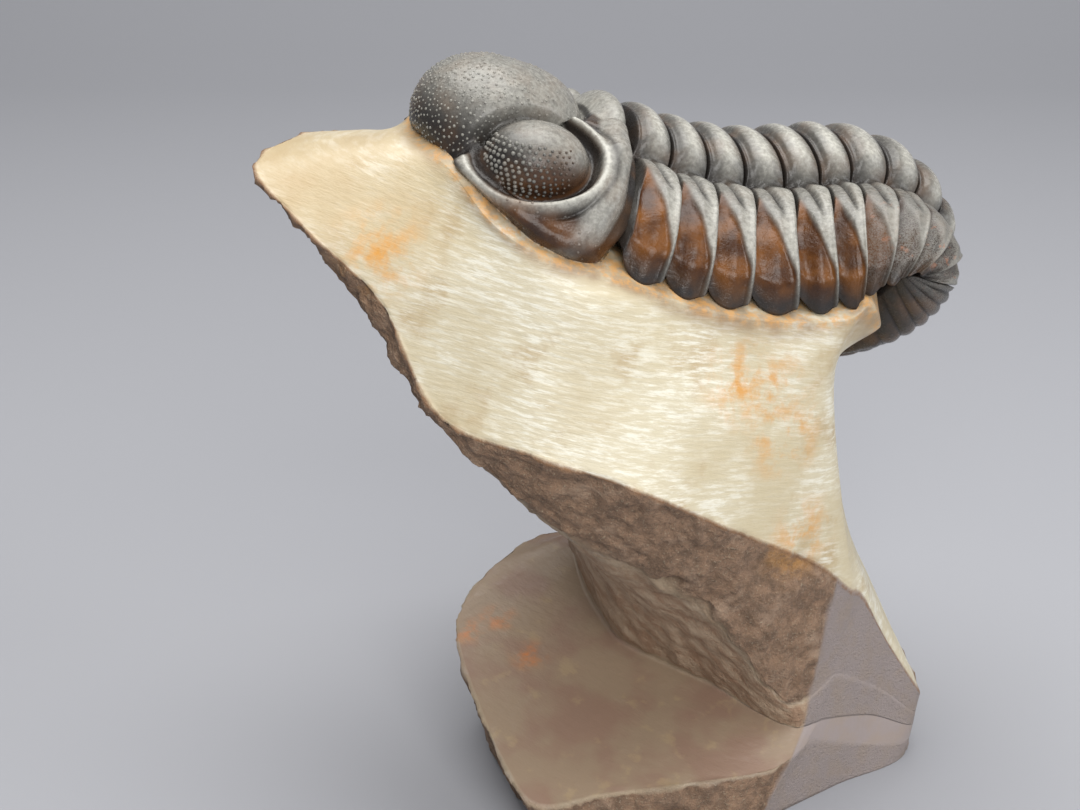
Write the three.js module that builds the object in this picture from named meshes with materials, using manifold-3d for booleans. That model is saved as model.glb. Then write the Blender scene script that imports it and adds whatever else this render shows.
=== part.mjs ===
// A phacopid trilobite, rolled at the tail, lying on the carved block of limestone it was freed from.
// Millimetres, +Z up, the block's flat underside on Z = 0, the animal's left side towards -Y.
import * as THREE from 'three';
import Module from 'manifold-3d';

const wasm = await Module();
wasm.setup();

// Driving dimensions of the animal
const YAW = 20; // degrees that the head is turned towards -Y
const NAPE = new THREE.Vector3(-7, -4.2, 58.7); // top of the ring behind the head
const HALF_WIDTH = 13.5; // middle to pleural tip
const DEPTH = 10.9; // top of the axis to pleural tip
const HEAD_BACK = 1.45; // rear face of the head, past the nape
const FRONT_PITCH = 3.05; // length of segments 1 to 6 along the back
const REAR_PITCH = 4.0; // length of segments 7 to 11, stretched round the bend
const FRONT_SEGMENTS = 6;
const SEGMENTS = 11;
const TAIL_LENGTH = 13.5; // pygidium along the back
const TAIL_ROUNDNESS = 2.6; // 2 closes it in a circle's arc, more makes it blunter
const GAP = 0.3; // clear space between neighbouring pieces
const BED_GAP = 0.4; // clear space between the body and its bed in the rock
const HEAD_BED_GAP = 0.55; // the same under the head
const AXIS_SHARE = 0.34; // half-width of the axial lobe over the body's half-width
const AXIS_HEIGHT = 2.9; // axial lobe above the axial furrow
const SHOULDER_POWER = 2.4; // how square the pleurae turn down

// Slope of the back along its length: distance behind the nape, and degrees above level
const BACK_SLOPES = [
  [0, -31], [6, -20], [10, -13], [14.5, -1], [18.5, -2],
  [26.4, -31], [34.6, -74], [42.3, -128], [48, -160], [56, -195],
];
// Half-width and depth of the body over the driving ones: distance behind the nape, and share
const WIDTH_SHARES = [[0, 0.96], [6, 1], [20, 1], [30, 0.88], [40, 0.66], [60, 0.62]];
const DEPTH_SHARES = [[0, 1], [18, 1], [26, 0.88], [34, 0.71], [40, 0.7], [46, 0.84], [60, 0.88]];
// How far the pleural tips lean forwards: distance behind the nape, and millimetres
const TIP_LEANS = [[0, 0.9], [14, 2.3], [20, 2.2], [30, 1.2], [40, 0.6], [60, 0]];

// Value at x on straight lines between [x, value] knots
function between(knots, x) {
  if (x <= knots[0][0]) return knots[0][1];
  for (let i = 1; i < knots.length; i++) {
    const [x0, y0] = knots[i - 1];
    const [x1, y1] = knots[i];
    if (x <= x1) return y0 + ((y1 - y0) * (x - x0)) / (x1 - x0);
  }
  return knots[knots.length - 1][1];
}

const smoothstep = THREE.MathUtils.smoothstep;
const rad = THREE.MathUtils.degToRad;
const TAILWARD = new THREE.Vector3(Math.cos(rad(YAW)), Math.sin(rad(YAW)), 0);
const LEFTWARD = new THREE.Vector3(Math.sin(rad(YAW)), -Math.cos(rad(YAW)), 0);
const UPWARD = new THREE.Vector3(0, 0, 1);

// Frame on the middle line of the back, at a distance behind the nape
const LINE_STEP = 0.25;
const backLine = [NAPE.clone()];
for (let s = 0; s < 60; s += LINE_STEP) {
  const slope = rad(between(BACK_SLOPES, s + LINE_STEP / 2));
  backLine.push(backLine[backLine.length - 1].clone()
    .addScaledVector(TAILWARD, Math.cos(slope) * LINE_STEP)
    .addScaledVector(UPWARD, Math.sin(slope) * LINE_STEP));
}
function bodyFrame(s) {
  const slope = rad(between(BACK_SLOPES, s));
  const along = TAILWARD.clone().multiplyScalar(Math.cos(slope)).addScaledVector(UPWARD, Math.sin(slope));
  const up = UPWARD.clone().multiplyScalar(Math.cos(slope)).addScaledVector(TAILWARD, -Math.sin(slope));
  const at = Math.min(Math.max(s / LINE_STEP, 0), backLine.length - 2);
  const origin = backLine[Math.floor(at)].clone().lerp(backLine[Math.floor(at) + 1], at % 1);
  return { origin, along, up };
}
// Point at (along, left, up) from the frame
function place(frame, x, b, n) {
  return frame.origin.clone()
    .addScaledVector(frame.along, x)
    .addScaledVector(LEFTWARD, b)
    .addScaledVector(frame.up, n);
}

// Half-width and depth of the body at a distance behind the nape, closing in an arc over the pygidium
const THORAX_START = HEAD_BACK + GAP;
const THORAX_END = THORAX_START + FRONT_SEGMENTS * FRONT_PITCH + (SEGMENTS - FRONT_SEGMENTS) * REAR_PITCH;
function closing(s) {
  const t = Math.max(0, (s - THORAX_END) / TAIL_LENGTH);
  return Math.sqrt(Math.max(0, 1 - t ** TAIL_ROUNDNESS));
}
function bodySize(s) {
  const shut = closing(s);
  const width = HALF_WIDTH * between(WIDTH_SHARES, s) * shut;
  const depth = DEPTH * between(DEPTH_SHARES, s) * shut ** 0.8;
  return { width, depth };
}

// Cross-section: share across from the middle (0) to the tip (1) gives [left, up] from the back's middle line
const AXIS_END = 0.32; // share across at the axial furrow
function section(across, width, depth) {
  const axis = AXIS_SHARE * width;
  const rise = (AXIS_HEIGHT * width) / HALF_WIDTH;
  if (across <= AXIS_END) {
    const a = (across / AXIS_END) * Math.PI / 2;
    return [axis * Math.sin(a), -rise * (1 - Math.cos(a))];
  }
  const a = ((across - AXIS_END) / (1 - AXIS_END)) * Math.PI / 2;
  const power = 2 / SHOULDER_POWER;
  return [
    axis + (width - axis) * Math.sin(a) ** power,
    -rise - (depth - rise) * (1 - Math.max(0, Math.cos(a)) ** power),
  ];
}

// Height of a segment's relief over the plain section; w runs from its front edge (0) to its rear edge (1)
function segmentRelief(across, w) {
  const ring = 0.75 * Math.sin(Math.PI * Math.min(1, Math.max(0, w))) ** 0.7 - 0.45;
  const overlap = -0.75 + 0.95 * smoothstep(w, 0.05, 0.6) - 0.15 * smoothstep(w, 0.85, 1);
  const furrowMiddle = 0.3 + 0.45 * (across - AXIS_END) / 0.3;
  const pleuralFurrow = -0.35 * Math.exp(-(((w - furrowMiddle) / 0.13) ** 2));
  const inner = 0.3 * Math.sin(Math.PI * w) ** 0.8 - 0.2 + pleuralFurrow;
  const outward = smoothstep(across, 0.45, 0.62);
  const pleura = inner * (1 - outward) + overlap * outward;
  const furrow = -0.35 * Math.exp(-(((across - AXIS_END) / 0.035) ** 2));
  const side = smoothstep(across, AXIS_END - 0.03, AXIS_END + 0.03);
  return ring * (1 - side) + pleura * side + furrow;
}
// Pleural tips are rounded, so each segment's lower edge is a scallop
function tipDrop(w) {
  return 1 - 0.13 * Math.abs(2 * w - 1.1) ** 2.2;
}

// Closed ring of points round the body at a distance behind the nape
const AXIAL_SHARES = [0, 0.1, 0.19, 0.26, 0.32];
const PLEURAL_SHARES = [0.37, 0.46, 0.55, 0.65, 0.75, 0.85, 0.94, 1];
const ACROSS = [...AXIAL_SHARES, ...PLEURAL_SHARES];
const BELLY_STEPS = 4;
const BELLY_ARCH = 1.2;
function bodyRing(s, w, relief, grow = 0) {
  const frame = bodyFrame(s);
  const size = bodySize(s);
  const width = size.width + grow;
  const depth = size.depth + grow;
  const shares = [...ACROSS.slice(1).reverse().map((u) => -u), ...ACROSS];
  const scale = Math.min(1, size.width / HALF_WIDTH + 0.1);
  const drop = relief ? tipDrop(w) : 1;
  const lean = between(TIP_LEANS, s);
  const forward = (b) => -lean * smoothstep(Math.abs(b) / Math.max(width, 0.01), 0.4, 1);
  const points = shares.map((share) => {
    const across = Math.abs(share);
    const [b, n] = section(across, width, depth);
    const turn = Math.atan2(Math.max(b - AXIS_SHARE * width, 0), depth + n + 1);
    const height = relief ? relief(across, w) * scale : 0;
    const bSide = b + height * Math.sin(turn);
    const nTop = n + height * Math.cos(turn) + 2 * grow * (1 - across);
    const low = smoothstep(across, 0.6, 1);
    return place(frame, forward(b), Math.sign(share) * bSide, nTop * (1 - low + low * drop));
  });
  const foot = -depth * drop;
  for (let i = 1; i < BELLY_STEPS; i++) {
    const b = width * (1 - (2 * i) / BELLY_STEPS);
    const arch = BELLY_ARCH * (1 - (b / width) ** 2) * (size.width / HALF_WIDTH);
    points.push(place(frame, forward(b), b, foot + arch));
  }
  return points;
}

// Point in the middle of the body at a distance behind the nape
function inside(s) {
  return place(bodyFrame(s), 0, 0, -0.6 * bodySize(s).depth);
}

// Closed geometry through rings of points, with a fan at each end
function loft(rings, firstMiddle, lastMiddle) {
  const count = rings[0].length;
  const positions = rings.flat().concat([firstMiddle, lastMiddle]).flatMap((p) => [p.x, p.y, p.z]);
  const index = [];
  for (let r = 0; r + 1 < rings.length; r++) {
    for (let i = 0; i < count; i++) {
      const a = r * count + i;
      const b = r * count + ((i + 1) % count);
      index.push(a, a + count, b, b, a + count, b + count);
    }
  }
  const first = rings.length * count;
  const base = (rings.length - 1) * count;
  for (let i = 0; i < count; i++) {
    const next = (i + 1) % count;
    index.push(first, i, next);
    index.push(first + 1, base + next, base + i);
  }
  const geometry = new THREE.BufferGeometry();
  geometry.setAttribute('position', new THREE.Float32BufferAttribute(positions, 3));
  geometry.setIndex(index);
  return facingOut(geometry);
}
// Turns a closed geometry inside out where its faces point in
function facingOut(geometry) {
  const p = geometry.attributes.position;
  const index = geometry.index.array;
  const [a, b, c] = [new THREE.Vector3(), new THREE.Vector3(), new THREE.Vector3()];
  let volume = 0;
  for (let i = 0; i < index.length; i += 3) {
    a.fromBufferAttribute(p, index[i]);
    b.fromBufferAttribute(p, index[i + 1]);
    c.fromBufferAttribute(p, index[i + 2]);
    volume += a.dot(b.cross(c));
  }
  if (volume < 0) {
    for (let i = 0; i < index.length; i += 3) {
      [index[i + 1], index[i + 2]] = [index[i + 2], index[i + 1]];
    }
  }
  return geometry;
}

function segmentGeometry(number) {
  const front = THORAX_START + Math.min(number, FRONT_SEGMENTS) * FRONT_PITCH
    + Math.max(0, number - FRONT_SEGMENTS) * REAR_PITCH;
  const length = (number < FRONT_SEGMENTS ? FRONT_PITCH : REAR_PITCH) - GAP;
  const rings = [0, 0.14, 0.38, 0.64, 0.88, 1].map((w) => bodyRing(front + w * length, w, segmentRelief));
  return loft(rings, inside(front), inside(front + length));
}

// Pygidium: the same section closing to the tail's end, with ribs that fade backwards
const TAIL_RIBS = 6;
function tailRelief(across, w) {
  const turned = w * TAIL_RIBS - 1.6 * Math.max(0, across - AXIS_END) * (1 + w);
  const fade = 1 - smoothstep(w, 0.6, 0.95);
  const rim = smoothstep(across, 0.8, 0.95);
  const furrow = -0.35 * Math.exp(-(((across - AXIS_END) / 0.04) ** 2));
  return (0.4 * Math.cos(2 * Math.PI * (turned - 0.5)) * (1 - rim) + furrow) * fade;
}
function tailGeometry() {
  const front = THORAX_END;
  const stations = 14;
  const rings = [];
  for (let i = 0; i < stations; i++) {
    const w = Math.sin((i / (stations - 1)) * Math.PI * 0.5 * 0.94);
    rings.push(bodyRing(front + w * TAIL_LENGTH, w, tailRelief));
  }
  return loft(rings, inside(front), place(bodyFrame(front + TAIL_LENGTH), 0, 0, -1.2));
}

// Head, in its own axes at the nape: x tailward, b leftward, n upward. Each form is an ellipsoid
const HEAD_FORMS = {
  bulb: { middle: [-7.9, 0, -6.4], half: [6.1, 6.3, 5.2], tilt: 6 },
  bulbBack: { middle: [-5, 0, -5.4], half: [4.2, 4.5, 4.4], tilt: 0 },
  shield: { middle: [-1.6, 0, -11], half: [10.9, 12.2, 9.3], tilt: 0 },
  eye: { middle: [-6.5, 7.2, -6.7], half: [4.1, 3.6, 2.95], tilt: 19 },
  ring: { middle: [0, 0, -3.3], half: [1.6, 4.9, 3.3], tilt: 0 },
};
const MOAT = { depth: 0.9, width: 0.9 }; // furrow round the eye and the bulb
// Rear border of the cheek, and the rim that runs from it forwards under the eye
const BORDER_LINE = [
  [-0.6, 4.8, -2.4], [-0.9, 8, -3.6], [-1.2, 10.6, -6.4], [-1.8, 11.5, -9.2], [-2.6, 11.2, -11],
];
const RIM_LINE = [
  [-2.4, 10.4, -6.6], [-4.2, 11, -8.4], [-7.2, 10, -9.2], [-10.2, 7.6, -8.9], [-11.9, 4.5, -8.4],
];
const BORDER_RADIUS = 1.15;
const RIM_RADIUS = 0.5;
const SOLE = { level: -11.9, front: -13.4, slope: -0.3 }; // underside, rising towards the front
function ellipsoid(form, x, b, n) {
  const [dx, dn] = [x - form.middle[0], n - form.middle[2]];
  const turn = rad(form.tilt);
  const u = (dx * Math.cos(turn) + dn * Math.sin(turn)) / form.half[0];
  const v = (dn * Math.cos(turn) - dx * Math.sin(turn)) / form.half[2];
  return (Math.hypot(u, (b - form.middle[1]) / form.half[1], v) - 1) * Math.min(...form.half);
}
// Distance to a rounded bar along a line of points
function bar(line, radius, x, b, n) {
  let best = Infinity;
  for (let i = 0; i + 1 < line.length; i++) {
    const from = line[i];
    const way = line[i + 1].map((value, k) => value - from[k]);
    const off = [x - from[0], b - from[1], n - from[2]];
    const dot = (p, q) => p[0] * q[0] + p[1] * q[1] + p[2] * q[2];
    const t = Math.min(1, Math.max(0, dot(off, way) / dot(way, way)));
    best = Math.min(best, Math.hypot(off[0] - way[0] * t, off[1] - way[1] * t, off[2] - way[2] * t));
  }
  return best - radius;
}
// Smallest of two distances, rounded where they cross
function blend(a, b, round) {
  const h = Math.max(round - Math.abs(a - b), 0) / round;
  return Math.min(a, b) - (h * h * round) / 4;
}
function moat(distance) {
  return MOAT.depth * Math.exp(-((Math.max(distance, 0) / MOAT.width) ** 2));
}
// The head's rear edge leans forwards at the sides as the pleural tips do
function headLean(b) {
  return between(TIP_LEANS, 0) * smoothstep(Math.abs(b) / HALF_WIDTH, 0.4, 1);
}
function soleHeight(x) {
  return Math.max(SOLE.level, SOLE.front + SOLE.slope * x);
}
// Distance to the head's surface, about, negative inside
function headDistance(x, side, n) {
  const b = Math.abs(side);
  const eye = ellipsoid(HEAD_FORMS.eye, x, b, n);
  const bulb = blend(ellipsoid(HEAD_FORMS.bulb, x, b, n), ellipsoid(HEAD_FORMS.bulbBack, x, b, n), 1.5);
  let d = ellipsoid(HEAD_FORMS.shield, x, b, n) + moat(Math.min(eye, bulb));
  d = blend(d, bar(BORDER_LINE, BORDER_RADIUS, x, b, n), 0.9);
  d = blend(d, bar(RIM_LINE, RIM_RADIUS, x, b, n), 0.6);
  d = blend(d, bulb, 0.3);
  d = blend(d, eye, 0.3);
  d = blend(d, ellipsoid(HEAD_FORMS.ring, x, b, n), 0.4);
  return Math.max(d, x + headLean(b) - HEAD_BACK, soleHeight(x) - n);
}
// Inside line that the head's surface is seen from: x and n
const HEAD_AXIS = [[-15, -6.9], [-9, -7.6], [1.5, -7]];
const HEAD_RINGS = 25;
const TOP_STEPS = 34; // rays over the top of a ring
const SOLE_STEPS = 6; // and under it
const LEAN_FROM = -10; // the rings begin to lean forwards at the sides here
const REACH = 20; // longer than any ray inside the head
const HALVINGS = 22;
// Last value between low and high for which a test that turns false once still holds
function lastWhere(low, high, test) {
  for (let step = 0; step < HALVINGS; step++) {
    const middle = (low + high) / 2;
    if (test(middle)) low = middle;
    else high = middle;
  }
  return low;
}
// Point of the head's surface on the ring at x, at an angle from straight up
function headPoint(x, angle, grow) {
  const at = (r) => {
    const b = r * Math.sin(angle);
    const lean = headLean(b) * smoothstep(x, LEAN_FROM, HEAD_BACK);
    return [x - lean, b, between(HEAD_AXIS, x) + r * Math.cos(angle)];
  };
  return at(lastWhere(0, REACH, (r) => headDistance(...at(r)) < grow));
}
// Ring across the head: over the top from one edge of the sole to the other, and back under it
function headRing(x, grow) {
  const above = (angle) => headPoint(x, angle, grow)[2] > soleHeight(x) - grow + 0.02;
  const edge = Math.min(lastWhere(Math.PI / 2, Math.PI, above), Math.PI * 0.85);
  const angles = [];
  for (let i = 0; i <= TOP_STEPS; i++) angles.push(edge * ((2 * i) / TOP_STEPS - 1));
  for (let i = 1; i < SOLE_STEPS; i++) angles.push(edge + ((2 * Math.PI - 2 * edge) * i) / SOLE_STEPS);
  return angles.map((angle) => place(bodyFrame(0), ...headPoint(x, angle, grow)));
}
function headGeometry(grow = 0) {
  const height = (x) => between(HEAD_AXIS, x);
  const nose = -lastWhere(0, REACH, (x) => headDistance(-x, 0, height(-x)) < grow);
  const back = HEAD_BACK + grow - 0.01;
  const rings = [];
  for (let i = 1; i <= HEAD_RINGS; i++) {
    const t = i / HEAD_RINGS;
    rings.push(headRing(nose + (back - nose) * (t + 1 - Math.cos((t * Math.PI) / 2)) / 2, grow));
  }
  const middle = (x) => place(bodyFrame(0), x, 0, height(x));
  return loft(rings, middle(nose), middle(back));
}

// The block of stone. Its feature lines each run once round it, by seventeen spokes that start at the
// right-hand corner and go by the front to the beak at the left, and back behind. The contact line follows
// the animal's margin: a point of the block, a pleural tip on one side, or a point in the head's own axes
const CONTACT = [
  { at: [10.6, 1.5, 35.6] }, { at: [11.6, -4.5, 38.4] }, { at: [14, -9.4, 41.4] },
  { tip: 21, side: 1 }, { tip: 18, side: 1 }, { tip: 13.5, side: 1 }, { tip: 8, side: 1 },
  { tip: 2.8, side: 1 },
  { head: [-4.3, 11.6, -12] }, { head: [-7.9, 9.9, -11.7] }, { head: [-10.9, 6, -10] },
  { head: [-12.2, 0, -9.6] }, { head: [-10.9, -6, -10] }, { head: [-6, -11, -12] },
  { tip: 2.8, side: -1 }, { tip: 11, side: -1 }, { tip: 20, side: -1 },
];
// The other lines, each point as [x, y, z]
const FEATURES = {
  // narrowest place just under the animal
  neck: [
    [10, 2, 33.6], [10, -3.5, 35.6], [10.6, -9, 38.2], [10.6, -11.2, 39.2], [9.8, -13, 40], [4, -15.2, 41],
    [-2, -17.6, 43.6], [-7.4, -19.4, 47], [-12.8, -19.4, 48.6], [-16.4, -18.2, 51.6], [-21, -14.6, 54.8],
    [-24.4, -9.8, 56.6], [-23.4, -2.6, 55.2], [-19.4, 6, 47], [-12, 10.6, 43.4], [-1.5, 14.4, 40],
    [7, 11.5, 37],
  ],
  // half-way down the ground hollow, which is dished
  dish: [
    [11.3, 2, 25.4], [11, -3.6, 28.2], [11, -8.8, 30.6], [11, -10.8, 31], [9.2, -13.2, 32], [3, -16.8, 35],
    [-3.4, -19.8, 38.4], [-9.8, -20.8, 42], [-16, -20, 44.4], [-20.5, -18.4, 49], [-25.4, -14.8, 52.8],
    [-29, -9.9, 55.8], [-25.6, -3, 55.4], [-19.8, 8, 44], [-10.4, 14, 38.6], [1, 17.2, 33], [9.4, 12.6, 27],
  ],
  // lower edge of the ground hollow
  rim: [
    [20.3, -2.7, 5.3], [17.2, -5.3, 10.8], [13.9, -8, 17.2], [12.9, -9.3, 18.2], [9.9, -12, 21.8],
    [1.6, -18.6, 28.3],
    [-5, -22.5, 33], [-12.8, -22.5, 35.8], [-19.9, -21, 38.3], [-24.4, -18.4, 46.6], [-30.3, -15, 51.5],
    [-34.2, -10, 54.7], [-28.5, -2.4, 55.2], [-21, 10, 42], [-10, 17.5, 34], [3, 21, 26], [13.5, 14, 15],
  ],
  // lower edge of the broken side
  lip: [
    [20, -2.9, 3.9], [16.3, -6, 8], [12, -9.6, 11.5], [11.3, -10.1, 11], [8.2, -12, 9.6], [0.8, -16, 20.6],
    [-5, -18.4, 25.6], [-11, -19.3, 28.8], [-19.9, -20, 37.2], [-24.2, -17.6, 43], [-29, -14, 49.6],
    [-32.6, -9.8, 52.4], [-27.4, -4, 52], [-20, 7.5, 38], [-9.5, 16.5, 29], [3.5, 20.5, 21], [14, 13, 11],
  ],
  // deepest line of the undercut
  throat: [
    [19.9, -3, 3.2], [15.8, -6.4, 6.6], [11.4, -10.1, 9], [10.7, -10.7, 8.8], [8.3, -11.8, 8],
    [0.9, -10.6, 14],
    [-3.6, -10, 17], [-6.6, -9, 19], [-9.6, -7.4, 23.6], [-11.4, -5, 26], [-12.2, -2, 28],
    [-12.4, 2, 29], [-11.6, 6, 28], [-10, 11.6, 22], [-4.5, 16.4, 18], [5, 19.4, 13], [14.2, 12.5, 8],
  ],
  // inner corner of the undercut, on the base plate
  corner: [
    [19.8, -3.1, 2.6], [15.4, -6.8, 5.4], [10.9, -10.5, 7], [10.2, -11, 7], [8.4, -11.7, 7], [1, -6.4, 8.6],
    [-3, -3.8, 9.4], [-5.6, -1.8, 10], [-7.6, 2, 11.2], [-8.6, 5, 12], [-9.2, 8, 13],
    [-9.4, 10.4, 13.6], [-9.4, 12.2, 13.8], [-8, 14.6, 12], [-2, 18, 10], [6, 19, 7], [14.5, 12, 5.5],
  ],
  // upper edge of the base plate
  plate: [
    [19.5, -3.35, 1.3], [14.4, -7.6, 3.2], [10, -11.3, 5.6], [9.3, -12.1, 5.4], [7, -14.2, 4.7],
    [0.4, -17.2, 5],
    [-7.7, -18.8, 4.7], [-12.9, -20, 4.5], [-15.8, -15.1, 6], [-17.6, -9.8, 7.6], [-19.7, -1.8, 10],
    [-19.5, 2.2, 11], [-16.1, 8, 12.8], [-11.2, 14, 12.8], [-3, 18.6, 9], [6.5, 19.4, 5.5], [15, 12.2, 4],
  ],
  // edge of the flat underside
  floor: [
    [19.2, -3.6, 0], [12.6, -9.1, 0], [6.6, -14.1, 0], [6, -14.6, 0], [4.8, -15.6, 0], [-1.5, -17.6, 0],
    [-8, -18.2, 0], [-11.6, -16.6, 0], [-13.4, -13, 0], [-15.2, -8, 0], [-16.8, -2, 0],
    [-17, 3, 0], [-14.6, 9, 0], [-10, 14, 0], [-2, 18, 0], [7, 18.6, 0], [15.4, 11.4, 0],
  ],
};
const ROUND_STEPS = 51; // points round each line
const MARGIN_OUT = 0.8; // contact line outside the animal's margin
const MARGIN_DOWN = 0.3; // and below it
const ROOF_SHARE = 0.72; // how far the stone draws in under the animal before the animal is cut from it
const ROOF_RISE = 3;
const SEAT = { inward: 0.12, up: 0.8 }; // first step in from the contact line
const HOLLOW_ROWS = 5; // rows down the ground hollow
const ROWS_BELOW = { rim: 2, lip: 2, throat: 2, corner: 2, plate: 2, floor: 1 };
const ROUGH = { rim: 0.4, lip: 0.35, throat: 0.25, plate: 0.35 }; // how far broken stone stands out of true
const SAWN_SPOKES = 3.6; // the flat sawn corner reaches this many spokes from the first

function contactPoint(spoke) {
  if (spoke.at) return new THREE.Vector3(...spoke.at);
  if (spoke.head) {
    const [x, b, n] = spoke.head;
    const out = 1 + MARGIN_OUT / Math.hypot(x + 1, b);
    return place(bodyFrame(0), x * out, b * out, n - MARGIN_DOWN);
  }
  const { width, depth } = bodySize(spoke.tip);
  const x = -between(TIP_LEANS, spoke.tip);
  return place(bodyFrame(spoke.tip), x, spoke.side * (width + MARGIN_OUT), -depth - MARGIN_DOWN);
}
function roundLine(points) {
  return new THREE.CatmullRomCurve3(points, true, 'centripetal').getPoints(ROUND_STEPS).slice(0, -1);
}
// Repeatable unevenness at a place on the stone, from -1 to 1
function unevenness(p) {
  const rising = Math.sin(p.x * 1.7 + p.z * 2.3);
  const falling = Math.sin(p.y * 2.1 - p.z * 1.3 + 1);
  return (rising + falling + Math.sin(p.x * 2.9 + p.y * 3.1)) / 3;
}
function stoneRings() {
  const contact = roundLine(CONTACT.map(contactPoint));
  const lines = { contact };
  for (const [name, points] of Object.entries(FEATURES)) {
    lines[name] = roundLine(points.map((p) => new THREE.Vector3(...p)));
  }
  const middle = bodyLineUnder();
  const inward = (share, up) => contact.map((p, i) => p.clone().lerp(middle[i], share).setZ(p.z + up));
  const rings = [inward(ROOF_SHARE, ROOF_RISE), inward(SEAT.inward, SEAT.up)];
  const hollows = contact.map((p, i) => (
    new THREE.CatmullRomCurve3([p, lines.neck[i], lines.dish[i], lines.rim[i]])));
  for (let row = 0; row < HOLLOW_ROWS; row++) {
    rings.push(hollows.map((curve) => curve.getPoint(row / HOLLOW_ROWS)));
  }
  const names = Object.keys(ROWS_BELOW);
  names.forEach((name, k) => {
    const next = lines[names[k + 1]] ?? lines[name];
    for (let row = 0; row < ROWS_BELOW[name]; row++) {
      rings.push(lines[name].map((p, i) => roughened(p, next[i], row / ROWS_BELOW[name], name, i)));
    }
  });
  return rings;
}
// Point between two lines, out of true where the stone is broken and not sawn
function roughened(from, to, share, name, i) {
  const at = from.clone().lerp(to, share);
  const spoke = (i / ROUND_STEPS) * CONTACT.length;
  if (!ROUGH[name] || share === 0 || spoke < SAWN_SPOKES) return at;
  const out = new THREE.Vector3(at.x, at.y, 0).normalize();
  return at.addScaledVector(out, ROUGH[name] * unevenness(at));
}
const UNDER_HEAD = -8; // foremost point under the head, from the nape
const UNDER_THORAX = 24; // rearmost point under the thorax, behind the nape
// Points on the animal's middle line, one over each point of the contact line
function bodyLineUnder() {
  const spokes = CONTACT.map((spoke) => {
    if (spoke.head) return place(bodyFrame(0), Math.max(spoke.head[0], UNDER_HEAD), 0, 0);
    return bodyFrame(spoke.tip ?? UNDER_THORAX).origin;
  });
  return roundLine(spokes);
}
function stoneGeometry() {
  const rings = stoneRings();
  const roofMiddle = new THREE.Vector3();
  for (const p of rings[0]) roofMiddle.addScaledVector(p, 1 / ROUND_STEPS);
  return loft(rings, roofMiddle, new THREE.Vector3(0, 0, 0));
}

// Solid of a closed geometry, for cutting
function solidOf(geometry) {
  return new wasm.Manifold(new wasm.Mesh({
    numProp: 3,
    vertProperties: new Float32Array(geometry.attributes.position.array),
    triVerts: new Uint32Array(geometry.index.array),
  }));
}
function geometryOf(solid) {
  const mesh = solid.getMesh();
  const geometry = new THREE.BufferGeometry();
  geometry.setAttribute('position', new THREE.BufferAttribute(mesh.vertProperties, 3));
  geometry.setIndex(new THREE.BufferAttribute(mesh.triVerts, 1));
  return geometry;
}
// The animal's bed: thorax and tail without their relief, grown by the gap
const BED_STEP = 3;
const BED_START = -0.5;
const BED_END = THORAX_END + TAIL_LENGTH * 0.97;
function bedGeometry() {
  const rings = [];
  for (let s = BED_START; s < BED_END; s += BED_STEP) rings.push(bodyRing(s, 0, null, BED_GAP));
  rings.push(bodyRing(BED_END, 0, null, BED_GAP));
  return loft(rings, inside(BED_START), place(bodyFrame(BED_END), 0.6, 0, -2));
}

const group = new THREE.Group();
const shell = new THREE.MeshStandardMaterial({ color: 0x4a4440, roughness: 0.35, metalness: 0 });
const stone = new THREE.MeshStandardMaterial({ color: 0xcbbb9c, roughness: 0.6, metalness: 0 });
function addPiece(name, geometry, material) {
  const mesh = new THREE.Mesh(geometry, material);
  mesh.name = name;
  group.add(mesh);
}
const block = solidOf(stoneGeometry())
  .subtract(solidOf(bedGeometry()))
  .subtract(solidOf(headGeometry(HEAD_BED_GAP)));
addPiece('matrix', geometryOf(block), stone);
addPiece('cephalon', headGeometry(), shell);
for (let i = 0; i < SEGMENTS; i++) {
  addPiece(`thorax_segment_${String(i + 1).padStart(2, '0')}`, segmentGeometry(i), shell);
}
addPiece('pygidium', tailGeometry(), shell);

export default group;
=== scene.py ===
"""A trilobite lying on the carved block of limestone it was freed from, dressed for a studio picture.

The shapes are worked out in millimetres from the driving sizes of the solids, and every mesh is made in
metres in the solids' own frame: +Z up, the block's flat underside on Z = 0, the animal's left side towards -Y.
"""

import logging
import math
from dataclasses import dataclass, field
from enum import Enum

import bpy
import numpy as np
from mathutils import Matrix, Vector, noise
from mathutils.kdtree import KDTree

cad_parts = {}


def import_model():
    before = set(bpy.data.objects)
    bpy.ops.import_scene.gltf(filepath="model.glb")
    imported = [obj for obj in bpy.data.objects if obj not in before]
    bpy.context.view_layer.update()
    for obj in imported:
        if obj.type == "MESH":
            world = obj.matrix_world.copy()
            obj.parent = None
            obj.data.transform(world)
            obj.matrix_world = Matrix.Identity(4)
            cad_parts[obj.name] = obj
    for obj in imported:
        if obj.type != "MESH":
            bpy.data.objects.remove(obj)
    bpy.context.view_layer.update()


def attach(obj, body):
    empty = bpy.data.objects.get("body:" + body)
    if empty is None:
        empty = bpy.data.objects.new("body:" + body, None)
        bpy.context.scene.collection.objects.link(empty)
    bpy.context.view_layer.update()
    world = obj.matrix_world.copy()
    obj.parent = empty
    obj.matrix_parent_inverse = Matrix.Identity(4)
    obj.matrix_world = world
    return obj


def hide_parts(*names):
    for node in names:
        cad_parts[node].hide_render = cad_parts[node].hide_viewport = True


Array = np.ndarray
Knots = tuple[tuple[float, float], ...]
Point = tuple[float, float, float]
Spoke = tuple[str, tuple[float, ...]]
Socket = bpy.types.NodeSocket
Number = Socket | float
Colour = Socket | Point

MM = 0.001
SHELL = "_shell"
STONE = "_stone"
LENS_RADIUS = "lens_radius"
LENS_FACING = "lens_facing"
RIM, LIP, CORNER, PLATE = 1, 2, 4, 5  # feature lines passed on the way down the block
LOG = logging.getLogger("trilobite")


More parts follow.
